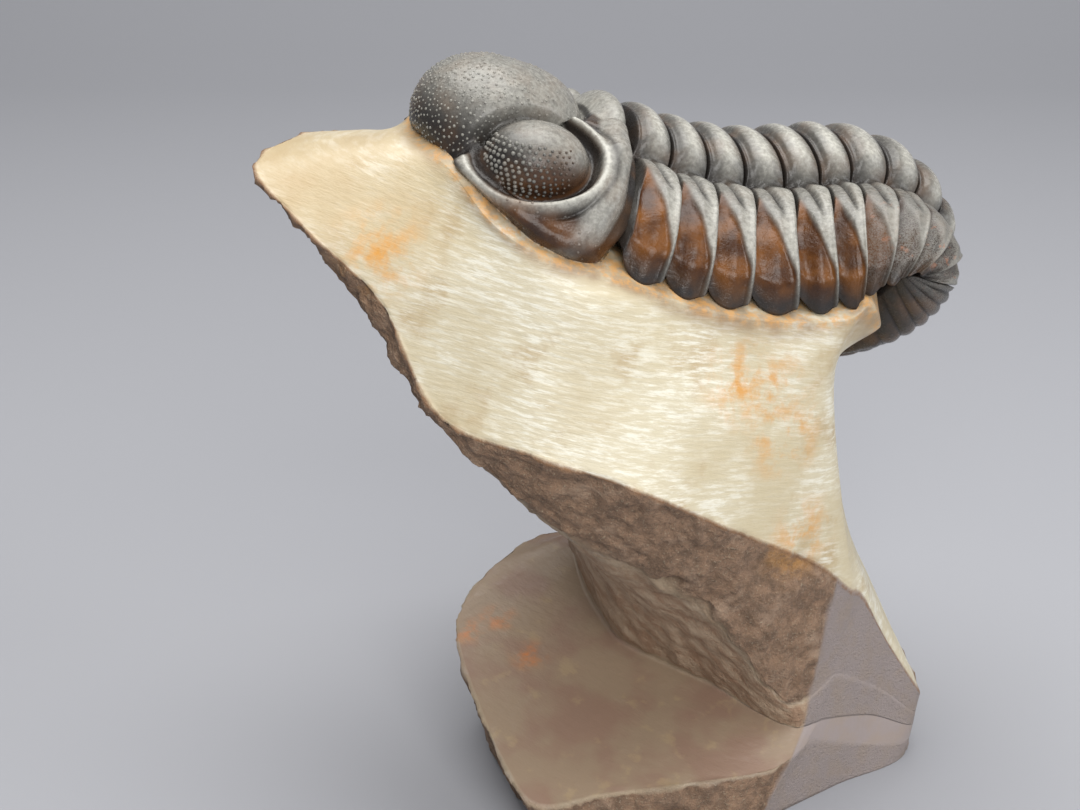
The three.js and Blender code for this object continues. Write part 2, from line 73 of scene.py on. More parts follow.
class Zone(Enum):
    """Kinds of stone surface on the block, each a share at every point of its mesh."""

    GROUND = "ground"
    BROKEN = "broken"
    UNDERCUT = "undercut"
    PLATE = "plate"
    SAWN = "sawn"


class Edge(Enum):
    """Coloured strips along the block's feature lines, each a share at every point of its mesh."""

    SEAM = "seam"
    BRINK = "brink"
    BESIDE = "beside"


class Tint(Enum):
    """Shares of colour on the animal's shell, each stored at every point of its meshes."""

    AMBER = "amber"
    FROST = "frost"
    # Painted shade share: dark colour painted into furrows, the joints between segments, the groove between eye
    # and bulb and the foot of the cheek.
    CREASE = "crease"
    GRAIN = "grain"
    # Wear and highlight share: real wear on ridges, plus painted highlight on the tops of the axial rings, the
    # upper head, the eye rims, the lenses and the granules.
    WORN = "worn"


def between(knots: Knots, x: Array | float) -> Array:
    """Value on straight lines between knots, which are pairs of a place and its value in rising order."""
    return np.interp(x, [k[0] for k in knots], [k[1] for k in knots])


def smoothstep(x: Array | float, low: float, high: float) -> Array:
    """Rise from 0 at low to 1 at high, with level ends."""
    t = np.clip((np.asarray(x, float) - low) / (high - low), 0, 1)
    return t * t * (3 - 2 * t)


def bell(x: Array | float, middle: Array | float, width: float) -> Array:
    """Bump of height 1 about a middle, a third of its height at one width away."""
    return np.exp(-(((np.asarray(x, float) - middle) / width) ** 2))


def spline_through(points: Array, closed: bool, t: Array) -> Array:
    """Centripetal curve through points, read at shares of its way.

    Args:
        points: Control points, shape (count, ..., 3).
        closed: Whether the curve returns to its first point.
        t: Shares of the way, from 0 to 1.

    Returns:
        Points of the curve, shape (len(t), ..., 3).
    """
    count = len(points)
    spans = count if closed else count - 1
    place = np.asarray(t, float) * spans
    start = np.floor(place).astype(int)
    if not closed:
        start = np.minimum(start, spans - 1)
    share = (place - start).reshape((-1,) + (1,) * (points.ndim - 1))
    if closed:
        a, b, c, d = (points[(start + k) % count] for k in (-1, 0, 1, 2))
    else:
        padded = np.concatenate([2 * points[:1] - points[1:2], points, 2 * points[-1:] - points[-2:-1]])
        a, b, c, d = (padded[start + k] for k in (0, 1, 2, 3))

    def step(p: Array, q: Array) -> Array:
        """Square root of the distance between points."""
        return np.linalg.norm(q - p, axis=-1, keepdims=True) ** 0.5

    d1 = np.maximum(step(b, c), 1e-4)
    d0 = np.where(step(a, b) < 1e-4, d1, step(a, b))
    d2 = np.where(step(c, d) < 1e-4, d1, step(c, d))
    leave = ((b - a) / d0 - (c - a) / (d0 + d1) + (c - b) / d1) * d1
    reach = ((c - b) / d1 - (d - b) / (d1 + d2) + (d - c) / d2) * d1
    square = -3 * b + 3 * c - 2 * leave - reach
    cube = 2 * b - 2 * c + leave + reach
    return b + leave * share + square * share**2 + cube * share**3


def fractal(points: Array, scale: float, octaves: int, seed: float = 0.0) -> Array:
    """Fractal unevenness at points, about -1 to 1.

    Args:
        points: Places in millimetres, shape (count, 3).
        scale: Bumps in a millimetre, about.
        octaves: Layers of finer bumps.
        seed: Shift that gives another pattern.

    Returns:
        One value for each point.
    """
    moved = points * scale + seed
    return np.array([noise.fractal(Vector(p), 0.9, 2.1, octaves) for p in moved])


def mesh_of(name: str, points: Array, faces: list) -> bpy.types.Mesh:
    """Smooth mesh in metres.

    Args:
        name: Name of the mesh.
        points: Points in millimetres, shape (count, 3).
        faces: Numbers of each face's corners.

    Returns:
        The mesh.
    """
    mesh = bpy.data.meshes.new(name)
    mesh.from_pydata((points * MM).tolist(), [], faces)
    mesh.polygons.foreach_set("use_smooth", np.ones(len(mesh.polygons), bool))
    mesh.update()
    return mesh


def closed_mesh(name: str, rings: Array, caps: tuple[Array, Array]) -> bpy.types.Mesh:
    """Closed mesh through rings of points, with a fan at each end.

    Args:
        name: Name of the mesh.
        rings: Points in millimetres, shape (rings, points in a ring, 3).
        caps: Middle points of the first and last fan.

    Returns:
        The mesh in metres, its faces pointing outwards.
    """
    rows, count, _ = rings.shape
    points = np.concatenate([rings.reshape(-1, 3), caps[0][None], caps[1][None]])
    here = np.arange(count)
    ahead = (here + 1) % count
    row = np.arange(rows - 1)[:, None] * count
    quads = np.stack([row + here, row + here + count, row + ahead + count, row + ahead], -1).reshape(-1, 4)
    first = np.stack([np.full(count, rows * count), here, ahead], -1)
    base = (rows - 1) * count
    last = np.stack([np.full(count, rows * count + 1), base + ahead, base + here], -1)
    corners = points[quads]
    turns = np.cross(corners[:, 1], corners[:, 2]) + np.cross(corners[:, 2], corners[:, 3])
    volume = np.einsum("ij,ij->", corners[:, 0], turns)
    if volume < 0:
        quads, first, last = quads[:, ::-1], first[:, ::-1], last[:, ::-1]
    return mesh_of(name, points, quads.tolist() + first.tolist() + last.tolist())


def net_mesh(name: str, values: Array, low: Point, step: float) -> tuple[Array, Array]:
    """Closed net of four-sided faces where the values on a grid pass through 0.

    Args:
        name: Name of the surface, for the error.
        values: Values on the grid, negative inside, shape (x, y, z).
        low: Place of the grid's first point.
        step: Spacing of the grid.

    Returns:
        Points in the grid's own axes, shape (count, 3), and the faces' corners, shape (faces, 4).
    """
    inside = values < 0
    shape = tuple(n - 1 for n in values.shape)
    total, hits = np.zeros(shape + (3,)), np.zeros(shape)
    offsets = [np.array([i, j, k]) for i in (0, 1) for j in (0, 1) for k in (0, 1)]

    def corner(grid: Array, at: Array) -> Array:
        """Values at one corner of every cell."""
        return grid[tuple(slice(o, o + n) for o, n in zip(at, shape))]

    for start in offsets:
        for axis in range(3):
            if start[axis]:
                continue
            stop = start + np.eye(3, dtype=int)[axis]
            a, b = corner(values, start), corner(values, stop)
            crosses = corner(inside, start) != corner(inside, stop)
            share = np.where(crosses, a / np.where(crosses, a - b, 1), 0)
            for k in range(3):
                total[..., k] += np.where(crosses, start[k] + (share if k == axis else 0), 0)
            hits += crosses
    used = hits > 0
    if not used.any():
        raise ValueError(f"{name} has no surface in its grid")
    number = np.cumsum(used.ravel()).reshape(shape) - 1
    cells = np.argwhere(used)
    points = np.array(low) + step * (cells + total[used] / hits[used][:, None])
    faces = []
    for axis in range(3):
        one, two = ((axis + 1) % 3, (axis + 2) % 3)
        ahead = np.roll(inside, -1, axis)
        edge = inside != ahead
        edge[tuple(-1 if k == axis else slice(None) for k in range(3))] = False
        spots = np.argwhere(edge)
        leaving = inside[tuple(spots.T)]
        around = []
        for down_one, down_two in ((0, 0), (1, 0), (1, 1), (0, 1)):
            cell = spots.copy()
            cell[:, one] -= down_one
            cell[:, two] -= down_two
            around.append(number[tuple(cell.T)])
        quad = np.stack(around, -1)
        faces.append(np.where(leaving[:, None], quad, quad[:, ::-1]))
    return points, np.concatenate(faces)


def store(mesh: bpy.types.Mesh, name: str, values: Array) -> None:
    """Stores one number for each point of a mesh.

    Args:
        mesh: The mesh.
        name: Name of the layer.
        values: Numbers in the order of the points; the last is repeated for points beyond them.
    """
    full = np.full(len(mesh.vertices), float(np.ravel(values)[-1]), np.float32)
    flat = np.ravel(values)[: len(full)]
    full[: len(flat)] = flat
    layer = mesh.attributes.new(name, "FLOAT", "POINT")
    layer.data.foreach_set("value", full)


def store_tints(mesh: bpy.types.Mesh, tints: dict[Tint, Array], shape: tuple[int, ...]) -> None:
    """Stores every share of colour on a shell.

    Args:
        mesh: The shell.
        tints: Shares of colour, 0 where one is left out.
        shape: Shape of the shell's points; shares that are narrower leave the rest at 0.
    """
    for tint in Tint:
        full = np.zeros(shape)
        if tint in tints:
            full[..., : tints[tint].shape[-1]] = tints[tint]
        store(mesh, tint.value, full)


def show(mesh: bpy.types.Mesh, finish: bpy.types.Material) -> bpy.types.Object:
    """Puts a mesh in the scene.

    Args:
        mesh: The mesh.
        finish: The one material it wears.

    Returns:
        The object, which has the mesh's name.
    """
    obj = bpy.data.objects.new(mesh.name, mesh)
    bpy.context.scene.collection.objects.link(obj)
    mesh.materials.append(finish)
    return obj


def settle(obj: bpy.types.Object) -> bpy.types.Mesh:
    """Replaces an object's mesh and modifiers by the plain mesh they give.

    Args:
        obj: The object.

    Returns:
        The new mesh.
    """
    graph = bpy.context.evaluated_depsgraph_get()
    made = bpy.data.meshes.new_from_object(obj.evaluated_get(graph), depsgraph=graph)
    obj.modifiers.clear()
    old = obj.data
    obj.data = made
    bpy.data.meshes.remove(old)
    made.name = obj.name
    return made


class Nodes:
    """One tree of nodes under construction."""

    def __init__(self, tree: bpy.types.NodeTree) -> None:
        """Takes the tree to fill."""
        self.tree = tree

    def add(self, kind: str, inputs: dict | None = None, **settings: object) -> bpy.types.Node:
        """Adds a node.

        Args:
            kind: Type of the node.
            inputs: Socket name or number to a value or to another node's output.
            **settings: Properties of the node.

        Returns:
            The new node.
        """
        node = self.tree.nodes.new(kind)
        for key, value in settings.items():
            setattr(node, key, value)
        for key, value in (inputs or {}).items():
            if isinstance(value, Socket):
                self.tree.links.new(value, node.inputs[key])
            else:
                node.inputs[key].default_value = value
        return node

    def out(self, kind: str, inputs: dict | None = None, **settings: object) -> Socket:
        """Adds a node in the same way and gives its first output."""
        return self.add(kind, inputs, **settings).outputs[0]


class Graph(Nodes):
    """Shader nodes of one material, with short words for the ones used often."""

    def __init__(self, name: str) -> None:
        """Starts an empty material of that name."""
        self.material = bpy.data.materials.new(name)
        self.material.use_nodes = True
        super().__init__(self.material.node_tree)
        self.tree.nodes.clear()
        place = self.add("ShaderNodeTexCoord").outputs["Object"]
        self.millimetres = self.out("ShaderNodeMapping", {"Vector": place, "Scale": (1 / MM,) * 3})

    def noise(self, scale: float, detail: float = 4, rough: float = 0.55, at: Socket | None = None) -> Socket:
        """Noise from 0 to 1, with scale bumps in a millimetre."""
        inputs = {"Vector": at or self.millimetres, "Scale": scale, "Detail": detail, "Roughness": rough}
        return self.out("ShaderNodeTexNoise", inputs)

    def stretched(self, scales: Point, turn: Point) -> Socket:
        """Millimetre coordinates turned and then scaled differently along each axis."""
        turned = self.out("ShaderNodeMapping", {"Vector": self.millimetres, "Rotation": turn})
        return self.out("ShaderNodeMapping", {"Vector": turned, "Scale": scales})

    def stored(self, layer: Enum) -> Socket:
        """Share stored at the points of the mesh."""
        return self.add("ShaderNodeAttribute", attribute_name=layer.value).outputs["Fac"]

    def span(self, value: Socket, low: float, high: float, bottom: float = 0, top: float = 1) -> Socket:
        """Value stretched from low..high to bottom..top and held at both ends."""
        inputs = {"Value": value, "From Min": low, "From Max": high, "To Min": bottom, "To Max": top}
        return self.out("ShaderNodeMapRange", inputs, interpolation_type="SMOOTHSTEP")

    def maths(self, operation: str, a: Number, b: Number) -> Socket:
        """Arithmetic on two values."""
        return self.out("ShaderNodeMath", {0: a, 1: b}, operation=operation)

    def times(self, a: Number, b: Number) -> Socket:
        """Product of two values."""
        return self.maths("MULTIPLY", a, b)

    def mix(self, share: Number, a: Colour, b: Colour) -> Socket:
        """Colour between two colours, a at 0 and b at 1."""
        a, b = ((*c, 1) if isinstance(c, tuple) else c for c in (a, b))
        return self.add("ShaderNodeMix", {0: share, 6: a, 7: b}, data_type="RGBA").outputs[2]

    def near(self, spots: tuple[Point, ...], radius: float) -> Socket:
        """Closeness to the nearest of some spots.

        Args:
            spots: Places in millimetres.
            radius: Distance from which the closeness is 0.

        Returns:
            A value that is 1 at each spot.
        """
        best = None
        for spot in spots:
            inputs = {0: self.millimetres, 1: spot}
            away = self.add("ShaderNodeVectorMath", inputs, operation="DISTANCE").outputs["Value"]
            close = self.span(away, radius, 0)
            best = close if best is None else self.maths("MAXIMUM", best, close)
        return best

    def finish(self, shader: dict, bumps: list[tuple[Socket, float, float]]) -> bpy.types.Material:
        """Closes the material with one glossy shader.

        Args:
            shader: Inputs of the shader.
            bumps: Triples of height socket, depth in millimetres and strength.

        Returns:
            The finished material.
        """
        under = {}
        for height, depth, strength in bumps:
            inputs = {"Height": height, "Distance": depth * MM, "Strength": strength, **under}
            under = {"Normal": self.out("ShaderNodeBump", inputs)}
        self.add("ShaderNodeOutputMaterial", {0: self.out("ShaderNodeBsdfPrincipled", {**shader, **under})})
        return self.material


@dataclass(frozen=True)
class ShellFinish:
    """Dark calcite of the shell: glossy, pale grey on wear and on painted highlights, darkened by painted shade
    in furrows and joints, amber where thin, matt where granular.
    """

    black: Point = (0.030, 0.027, 0.026)
    brown: Point = (0.070, 0.042, 0.026)
    # Pale grey for wear and for the painted highlights.
    silver_and_highlight: Point = (0.430, 0.420, 0.375)
    amber: Point = (0.165, 0.060, 0.011)
    deep_amber: Point = (0.034, 0.012, 0.005)
    frost: Point = (0.190, 0.182, 0.162)
    rust: Point = (0.420, 0.165, 0.080)
    # Near-black of the painted shade, and how much of it is mixed in.
    shadow: Point = (0.012, 0.010, 0.009)
    painted_shade_share: float = 0.85
    frost_roughness: float = 0.3
    refraction: float = 1.45
    shine: float = 0.4

    def make(self) -> bpy.types.Material:
        """Builds the material."""
        g = Graph("shell_calcite")
        fine = g.noise(2.6, 5, 0.65)
        speck = g.noise(9.0, 3, 0.6)
        frosted = g.stored(Tint.FROST)
        dusted = g.times(frosted, g.span(speck, 0.38, 0.60))
        colour = g.mix(g.span(g.noise(0.35, 3), 0.42, 0.68), self.black, self.brown)
        # Pale grey mixed in by the wear and highlight share: partly wear, partly painted highlight.
        colour = g.mix(g.times(g.stored(Tint.WORN), g.span(fine, 0.28, 0.66, 0.55, 1)), colour, self.silver_and_highlight)
        glow = g.mix(g.span(g.noise(0.4, 3, 0.5), 0.30, 0.66, 0.12, 1), self.deep_amber, self.amber)
        colour = g.mix(g.stored(Tint.AMBER), colour, glow)
        colour = g.mix(dusted, colour, self.frost)
        colour = g.mix(g.times(frosted, g.span(g.noise(1.1, 4), 0.60, 0.72, 0, 0.6)), colour, self.rust)
        # Painted shade: near-black mixed into furrows and joints where shade falls.
        colour = g.mix(g.times(g.stored(Tint.CREASE), self.painted_shade_share), colour, self.shadow)
        rough = g.maths("ADD", g.span(fine, 0.25, 0.75, 0.17, 0.32), g.times(dusted, self.frost_roughness))
        shine = {"IOR": self.refraction, "Specular IOR Level": self.shine}
        bumps = [(g.noise(1.5, 4, 0.6), 0.16, 0.45), (speck, 0.04, 0.5)]
        return g.finish({"Base Color": colour, "Roughness": rough, **shine}, bumps)


@dataclass(frozen=True)
class StoneFinish:
    """Limestone of the block: ground cream, broken brown, streaked undercut, beige plate, sawn grey."""

    cream: Point = (0.530, 0.455, 0.300)
    pale: Point = (0.590, 0.530, 0.385)
    # Pale of the tool strokes, partly painted sheen.
    stroke_and_sheen_white: Point = (0.740, 0.715, 0.610)
    tan: Point = (0.270, 0.175, 0.095)
    ochre: Point = (0.430, 0.320, 0.175)
    brown: Point = (0.330, 0.205, 0.128)
    dark_brown: Point = (0.165, 0.104, 0.066)
    grain: Point = (0.420, 0.290, 0.200)
    umber: Point = (0.250, 0.130, 0.060)
    orange: Point = (0.620, 0.300, 0.065)
    drab: Point = (0.330, 0.250, 0.180)
    plate: Point = (0.300, 0.220, 0.150)
    pink: Point = (0.270, 0.175, 0.125)
    tawny: Point = (0.460, 0.340, 0.235)
    lilac: Point = (0.310, 0.260, 0.245)
    rust: Point = (0.560, 0.190, 0.045)
    stroke_turn: float = -14.0
    seam_share: float = 0.6
    beak: Point = (-31, -12, 56)
    beak_reach: float = 19.0
    slab_stains: tuple[Point, ...] = (
        (-24.3, -17.0, 50.2), (2.8, -16.0, 39.4), (5.0, -15.3, 38.2), (6.4, -14.9, 34.5), (8.0, -13.6, 25.0),
    )
    slab_stain_reach: float = 5.0
    plate_stains: tuple[Point, ...] = ((-18.5, -0.7, 10.3), (-16.3, 0.8, 10.8), (-13.4, -3.6, 9.4))
    plate_stain_reach: float = 2.4

    def slanted(self, g: Graph, along: float, up: float, detail: float) -> Socket:
        """Noise drawn out along the tool strokes, which slope across the slab."""
        turn = (0, math.radians(self.stroke_turn), 0)
        return g.noise(1.0, detail, 0.7, g.stretched((along, along, up), turn))

    def ground(self, g: Graph) -> Socket:
        """Colour of the ground slab.

        Args:
            g: The material's nodes.

        Returns:
            Cream with pale tool strokes that are partly painted sheen, tan by the animal and ochre at the beak.
        """
        broad = g.noise(0.11, 4)
        colour = g.mix(g.span(broad, 0.36, 0.64), self.cream, self.pale)
        colour = g.mix(g.span(g.noise(0.2, 5, 0.6), 0.54, 0.72, 0, 0.75), colour, self.ochre)
        # Pale tool strokes: partly real marks, partly painted sheen of the light along them.
        strokes = g.span(self.slanted(g, 0.5, 3.2, 5), 0.44, 0.64)
        colour = g.mix(g.times(strokes, g.span(broad, 0.40, 0.6, 0.15, 0.95)), colour, self.stroke_and_sheen_white)
        patches = g.span(g.noise(0.35, 4, 0.6), 0.3, 0.62, 0.25, 0.85)
        colour = g.mix(g.times(g.stored(Edge.BESIDE), patches), colour, self.tan)
        patches = g.span(g.noise(0.3, 4), 0.3, 0.7, 0.6, 0.95)
        return g.mix(g.times(g.near((self.beak,), self.beak_reach), patches), colour, self.ochre)

    def broken(self, g: Graph, grit: Socket) -> Socket:
        """Colour of the broken side: brown mottled with lighter grain and grit."""
        colour = g.mix(g.span(g.noise(0.9, 6, 0.75), 0.32, 0.68), self.dark_brown, self.brown)
        colour = g.mix(g.span(g.noise(0.3, 5, 0.7), 0.52, 0.7, 0, 0.8), colour, self.grain)
        return g.mix(g.span(grit, 0.56, 0.70, 0, 0.35), colour, self.pale)

    def base_plate(self, g: Graph) -> Socket:
        """Colour of the base plate: beige with pink and ochre patches."""
        colour = g.mix(g.span(g.noise(0.16, 3), 0.42, 0.62), self.plate, self.pink)
        return g.mix(g.span(g.noise(0.5, 4), 0.58, 0.70, 0, 0.35), colour, self.ochre)

    def stained(self, g: Graph, colour: Socket, fine: Socket) -> Socket:
        """Stone with its stains.

        Args:
            g: The material's nodes.
            colour: Clean stone.
            fine: Noise that breaks up the edge below the slab.

        Returns:
            The colour with orange on the slab and along the animal, rust on the plate and umber on the brink.
        """
        blotch = g.span(g.noise(0.5, 5, 0.65), 0.40, 0.68)
        colour = g.mix(g.times(g.near(self.slab_stains, self.slab_stain_reach), blotch), colour, self.orange)
        colour = g.mix(g.times(g.near(self.plate_stains, self.plate_stain_reach), blotch), colour, self.rust)
        seam = g.times(g.stored(Edge.SEAM), g.span(g.noise(1.3, 4, 0.7), 0.42, 0.62))
        colour = g.mix(g.times(seam, self.seam_share), colour, self.orange)
        return g.mix(g.times(g.stored(Edge.BRINK), g.span(fine, 0.35, 0.6, 0.2, 0.9)), colour, self.umber)

    def make(self) -> bpy.types.Material:
        """Builds the material."""
        g = Graph("carved_limestone")
        fine = g.noise(1.6, 5, 0.6)
        grit = g.noise(5.0, 4, 0.65)
        streaks = g.noise(1.0, 4, 0.6, g.stretched((1.2, 1.2, 0.25), (0.3, 0.5, 0)))
        undercut = g.mix(g.span(streaks, 0.35, 0.68), self.brown, self.tawny)
        sawn = g.mix(g.span(g.noise(0.6, 4), 0.40, 0.70, 0, 0.35), self.lilac, self.drab)
        colour = self.ground(g)
        for zone, over in ((Zone.BROKEN, self.broken(g, grit)), (Zone.UNDERCUT, undercut),
                           (Zone.PLATE, self.base_plate(g)), (Zone.SAWN, sawn)):
            colour = g.mix(g.stored(zone), colour, over)
        colour = self.stained(g, colour, fine)
        uneven = g.maths("MAXIMUM", g.stored(Zone.BROKEN), g.stored(Zone.UNDERCUT))
        rough = g.maths("ADD", g.span(fine, 0.3, 0.7, 0.36, 0.52), g.times(uneven, 0.25))
        marks = g.times(self.slanted(g, 0.4, 2.8, 4), g.maths("SUBTRACT", 1.0, g.stored(Zone.SAWN)))
        bumps = [(marks, 0.11, 0.6), (fine, 0.06, 0.4), (g.times(grit, uneven), 0.35, 0.9)]
        return g.finish({"Base Color": colour, "Roughness": rough}, bumps)


@dataclass(frozen=True)
class PaperFinish:
    """Plain pale backdrop."""

    colour: Point = (0.33, 0.335, 0.36)
    roughness: float = 0.9

    def make(self) -> bpy.types.Material:
        """Builds the material."""
        return Graph("pale_backdrop").finish({"Base Color": (*self.colour, 1), "Roughness": self.roughness}, [])


@dataclass(frozen=True)
class BodyPlan:
    """Sizes of the animal's body and the surface they give.

    A place on the body is s, millimetres behind the nape along the back, and a share across from the
    middle line (0) to a pleural tip (1 on the left side, -1 on the right).
    """

    yaw: float = 20.0
    nape: Point = (-7.0, -4.2, 58.7)
    half_width: float = 13.5
    depth: float = 10.9
    head_back: float = 1.45
    front_pitch: float = 3.05
    rear_pitch: float = 4.0
    front_segments: int = 6
    segments: int = 11
    tail_length: float = 13.5
    tail_roundness: float = 2.6
    gap: float = 0.3
    axis_share: float = 0.34
    axis_height: float = 2.9
    axis_end: float = 0.32
    shoulder_power: float = 2.4
    belly_arch: float = 1.2
    line_step: float = 0.25
    line_length: float = 60.0
    belly_points: int = 11
    back_slopes: Knots = (
        (0, -31), (6, -20), (10, -13), (14.5, -1), (18.5, -2),
        (26.4, -31), (34.6, -74), (42.3, -128), (48, -160), (56, -195),
    )
    width_shares: Knots = ((0, 0.96), (6, 1), (20, 1), (30, 0.88), (40, 0.66), (60, 0.62))
    depth_shares: Knots = ((0, 1), (18, 1), (26, 0.88), (34, 0.71), (40, 0.7), (46, 0.84), (60, 0.88))
    tip_leans: Knots = ((0, 0.9), (14, 2.3), (20, 2.2), (30, 1.2), (40, 0.6), (60, 0))

    @property
    def thorax_start(self) -> float:
        """Place where the first segment begins."""
        return self.head_back + self.gap

    @property
    def thorax_end(self) -> float:
        """Place where the last segment ends and the tail begins."""
        rear = (self.segments - self.front_segments) * self.rear_pitch
        return self.thorax_start + self.front_segments * self.front_pitch + rear

    def directions(self) -> tuple[Array, Array, Array]:
        """Level tailward way, leftward way and up, as unit vectors."""
        turn = math.radians(self.yaw)
        tailward = np.array([math.cos(turn), math.sin(turn), 0.0])
        leftward = np.array([math.sin(turn), -math.cos(turn), 0.0])
        return tailward, leftward, np.array([0.0, 0.0, 1.0])

    def back_line(self) -> Array:
        """Points of the middle line of the back, one each line_step from the nape."""
        tailward, _, up = self.directions()
        steps = np.arange(0, self.line_length, self.line_step)
        slope = np.radians(between(self.back_slopes, steps + self.line_step / 2))
        moves = (np.cos(slope)[:, None] * tailward + np.sin(slope)[:, None] * up) * self.line_step
        return np.array(self.nape) + np.concatenate([np.zeros((1, 3)), np.cumsum(moves, 0)])

    def place(self, s: Array, x: Array, b: Array, n: Array) -> Array:
        """Points from places in the frames of the back.

        Args:
            s: Distance behind the nape that the frame stands at.
            x: Millimetres tailward from it.
            b: Millimetres to the animal's left.
            n: Millimetres up from the back.

        Returns:
            Points in the shared frame, in millimetres.
        """
        s, x, b, n = np.broadcast_arrays(*(np.asarray(v, float) for v in (s, x, b, n)))
        tailward, leftward, up = self.directions()
        slope = np.radians(between(self.back_slopes, s))[..., None]
        along = tailward * np.cos(slope) + up * np.sin(slope)
        above = up * np.cos(slope) - tailward * np.sin(slope)
        line = self.back_line()
        at = np.clip(s / self.line_step, 0, len(line) - 2)
        low = np.floor(at).astype(int)
        share = (at - low)[..., None]
        origin = line[low] * (1 - share) + line[low + 1] * share
        return origin + along * x[..., None] + leftward * b[..., None] + above * n[..., None]

    def size(self, s: Array) -> tuple[Array, Array]:
        """Size of the body, which closes in an arc over the tail.

        Args:
            s: Distance behind the nape.

        Returns:
            Half-width and depth there.
        """
        t = np.maximum(0, (np.asarray(s, float) - self.thorax_end) / self.tail_length)
        shut = np.sqrt(np.maximum(0, 1 - t**self.tail_roundness))
        width = self.half_width * between(self.width_shares, s) * shut
        return width, self.depth * between(self.depth_shares, s) * shut**0.8

    def section(self, across: Array, width: Array, depth: Array) -> tuple[Array, Array]:
        """Cross-section of the body.

        Args:
            across: Share from the middle (0) to the tip (1).
            width: Half-width of the body there.
            depth: Depth of the body there.

        Returns:
            Millimetres left and up from the back's middle line.
        """
        axis = self.axis_share * width
        rise = self.axis_height * width / self.half_width
        lobe = across / self.axis_end * math.pi / 2
        side = np.clip((across - self.axis_end) / (1 - self.axis_end), 0, 1) * math.pi / 2
        power = 2 / self.shoulder_power
        flank = axis + (width - axis) * np.sin(side) ** power
        fall = -rise - (depth - rise) * (1 - np.maximum(0, np.cos(side)) ** power)
        inner = across <= self.axis_end
        return (np.where(inner, axis * np.sin(np.minimum(lobe, 2)), flank),
                np.where(inner, -rise * (1 - np.cos(np.minimum(lobe, 2))), fall))

    def tip_drop(self, w: Array) -> Array:
        """Share of the depth a segment reaches, so that its lower edge is a scallop."""
        return 1 - 0.13 * np.abs(2 * w - 1.1) ** 2.2

    def surface(self, s: Array, shares: Array, height: Array, drop: Array, grow: float = 0.0) -> Array:
        """Closed rings of points round the body.

        Args:
            s: Distance behind the nape of each ring, shape (rows,).
            shares: Signed shares across the top, right to left, shape (columns,).
            height: Relief over the plain section in millimetres, shape (rows, columns).
            drop: Share of the depth that each ring reaches, shape (rows,).
            grow: Millimetres added all round.

        Returns:
            Points, shape (rows, columns + belly points, 3).
        """
        width, depth = (v[:, None] + grow for v in self.size(s))
        plain_width = width - grow
        scale = np.minimum(1, plain_width / self.half_width + 0.1)
        lean = between(self.tip_leans, s)[:, None]
        across = np.abs(shares)[None, :] * np.ones_like(width)
        b, n = self.section(across, width, depth)
        turn = np.arctan2(np.maximum(b - self.axis_share * width, 0), np.maximum(depth + n + 1, 1e-6))
        side = b + height * scale * np.sin(turn)
        top = n + height * scale * np.cos(turn) + 2 * grow * (1 - across)
        low = smoothstep(across, 0.6, 1)
        top = top * (1 - low + low * drop[:, None])

        def forward(left: Array) -> Array:
            """How far points lean forwards towards the tips."""
            return -lean * smoothstep(np.abs(left) / np.maximum(width, 0.01), 0.4, 1)

        upper = self.place(s[:, None], forward(b), np.sign(shares)[None, :] * side, top)
        under_share = 1 - 2 * np.arange(1, self.belly_points + 1)[None, :] / (self.belly_points + 1)
        left = width * under_share
        arch = self.belly_arch * (1 - under_share**2) * plain_width / self.half_width
        belly = self.place(s[:, None], forward(left), left, -depth * drop[:, None] + arch)
        return np.concatenate([upper, belly], 1)

    def inside(self, s: float) -> Array:
        """Point in the middle of the body."""
        return self.place(s, 0, 0, -0.6 * float(self.size(s)[1]))


def shares_across(count: int) -> Array:
    """Signed shares across the body, closer together at the axial furrow and the tips."""
    t = np.linspace(0, 1, count)
    near_tip = 0.5 * t + 0.5 * np.sin(t * math.pi / 2)
    return np.concatenate([-near_tip[:0:-1], near_tip])


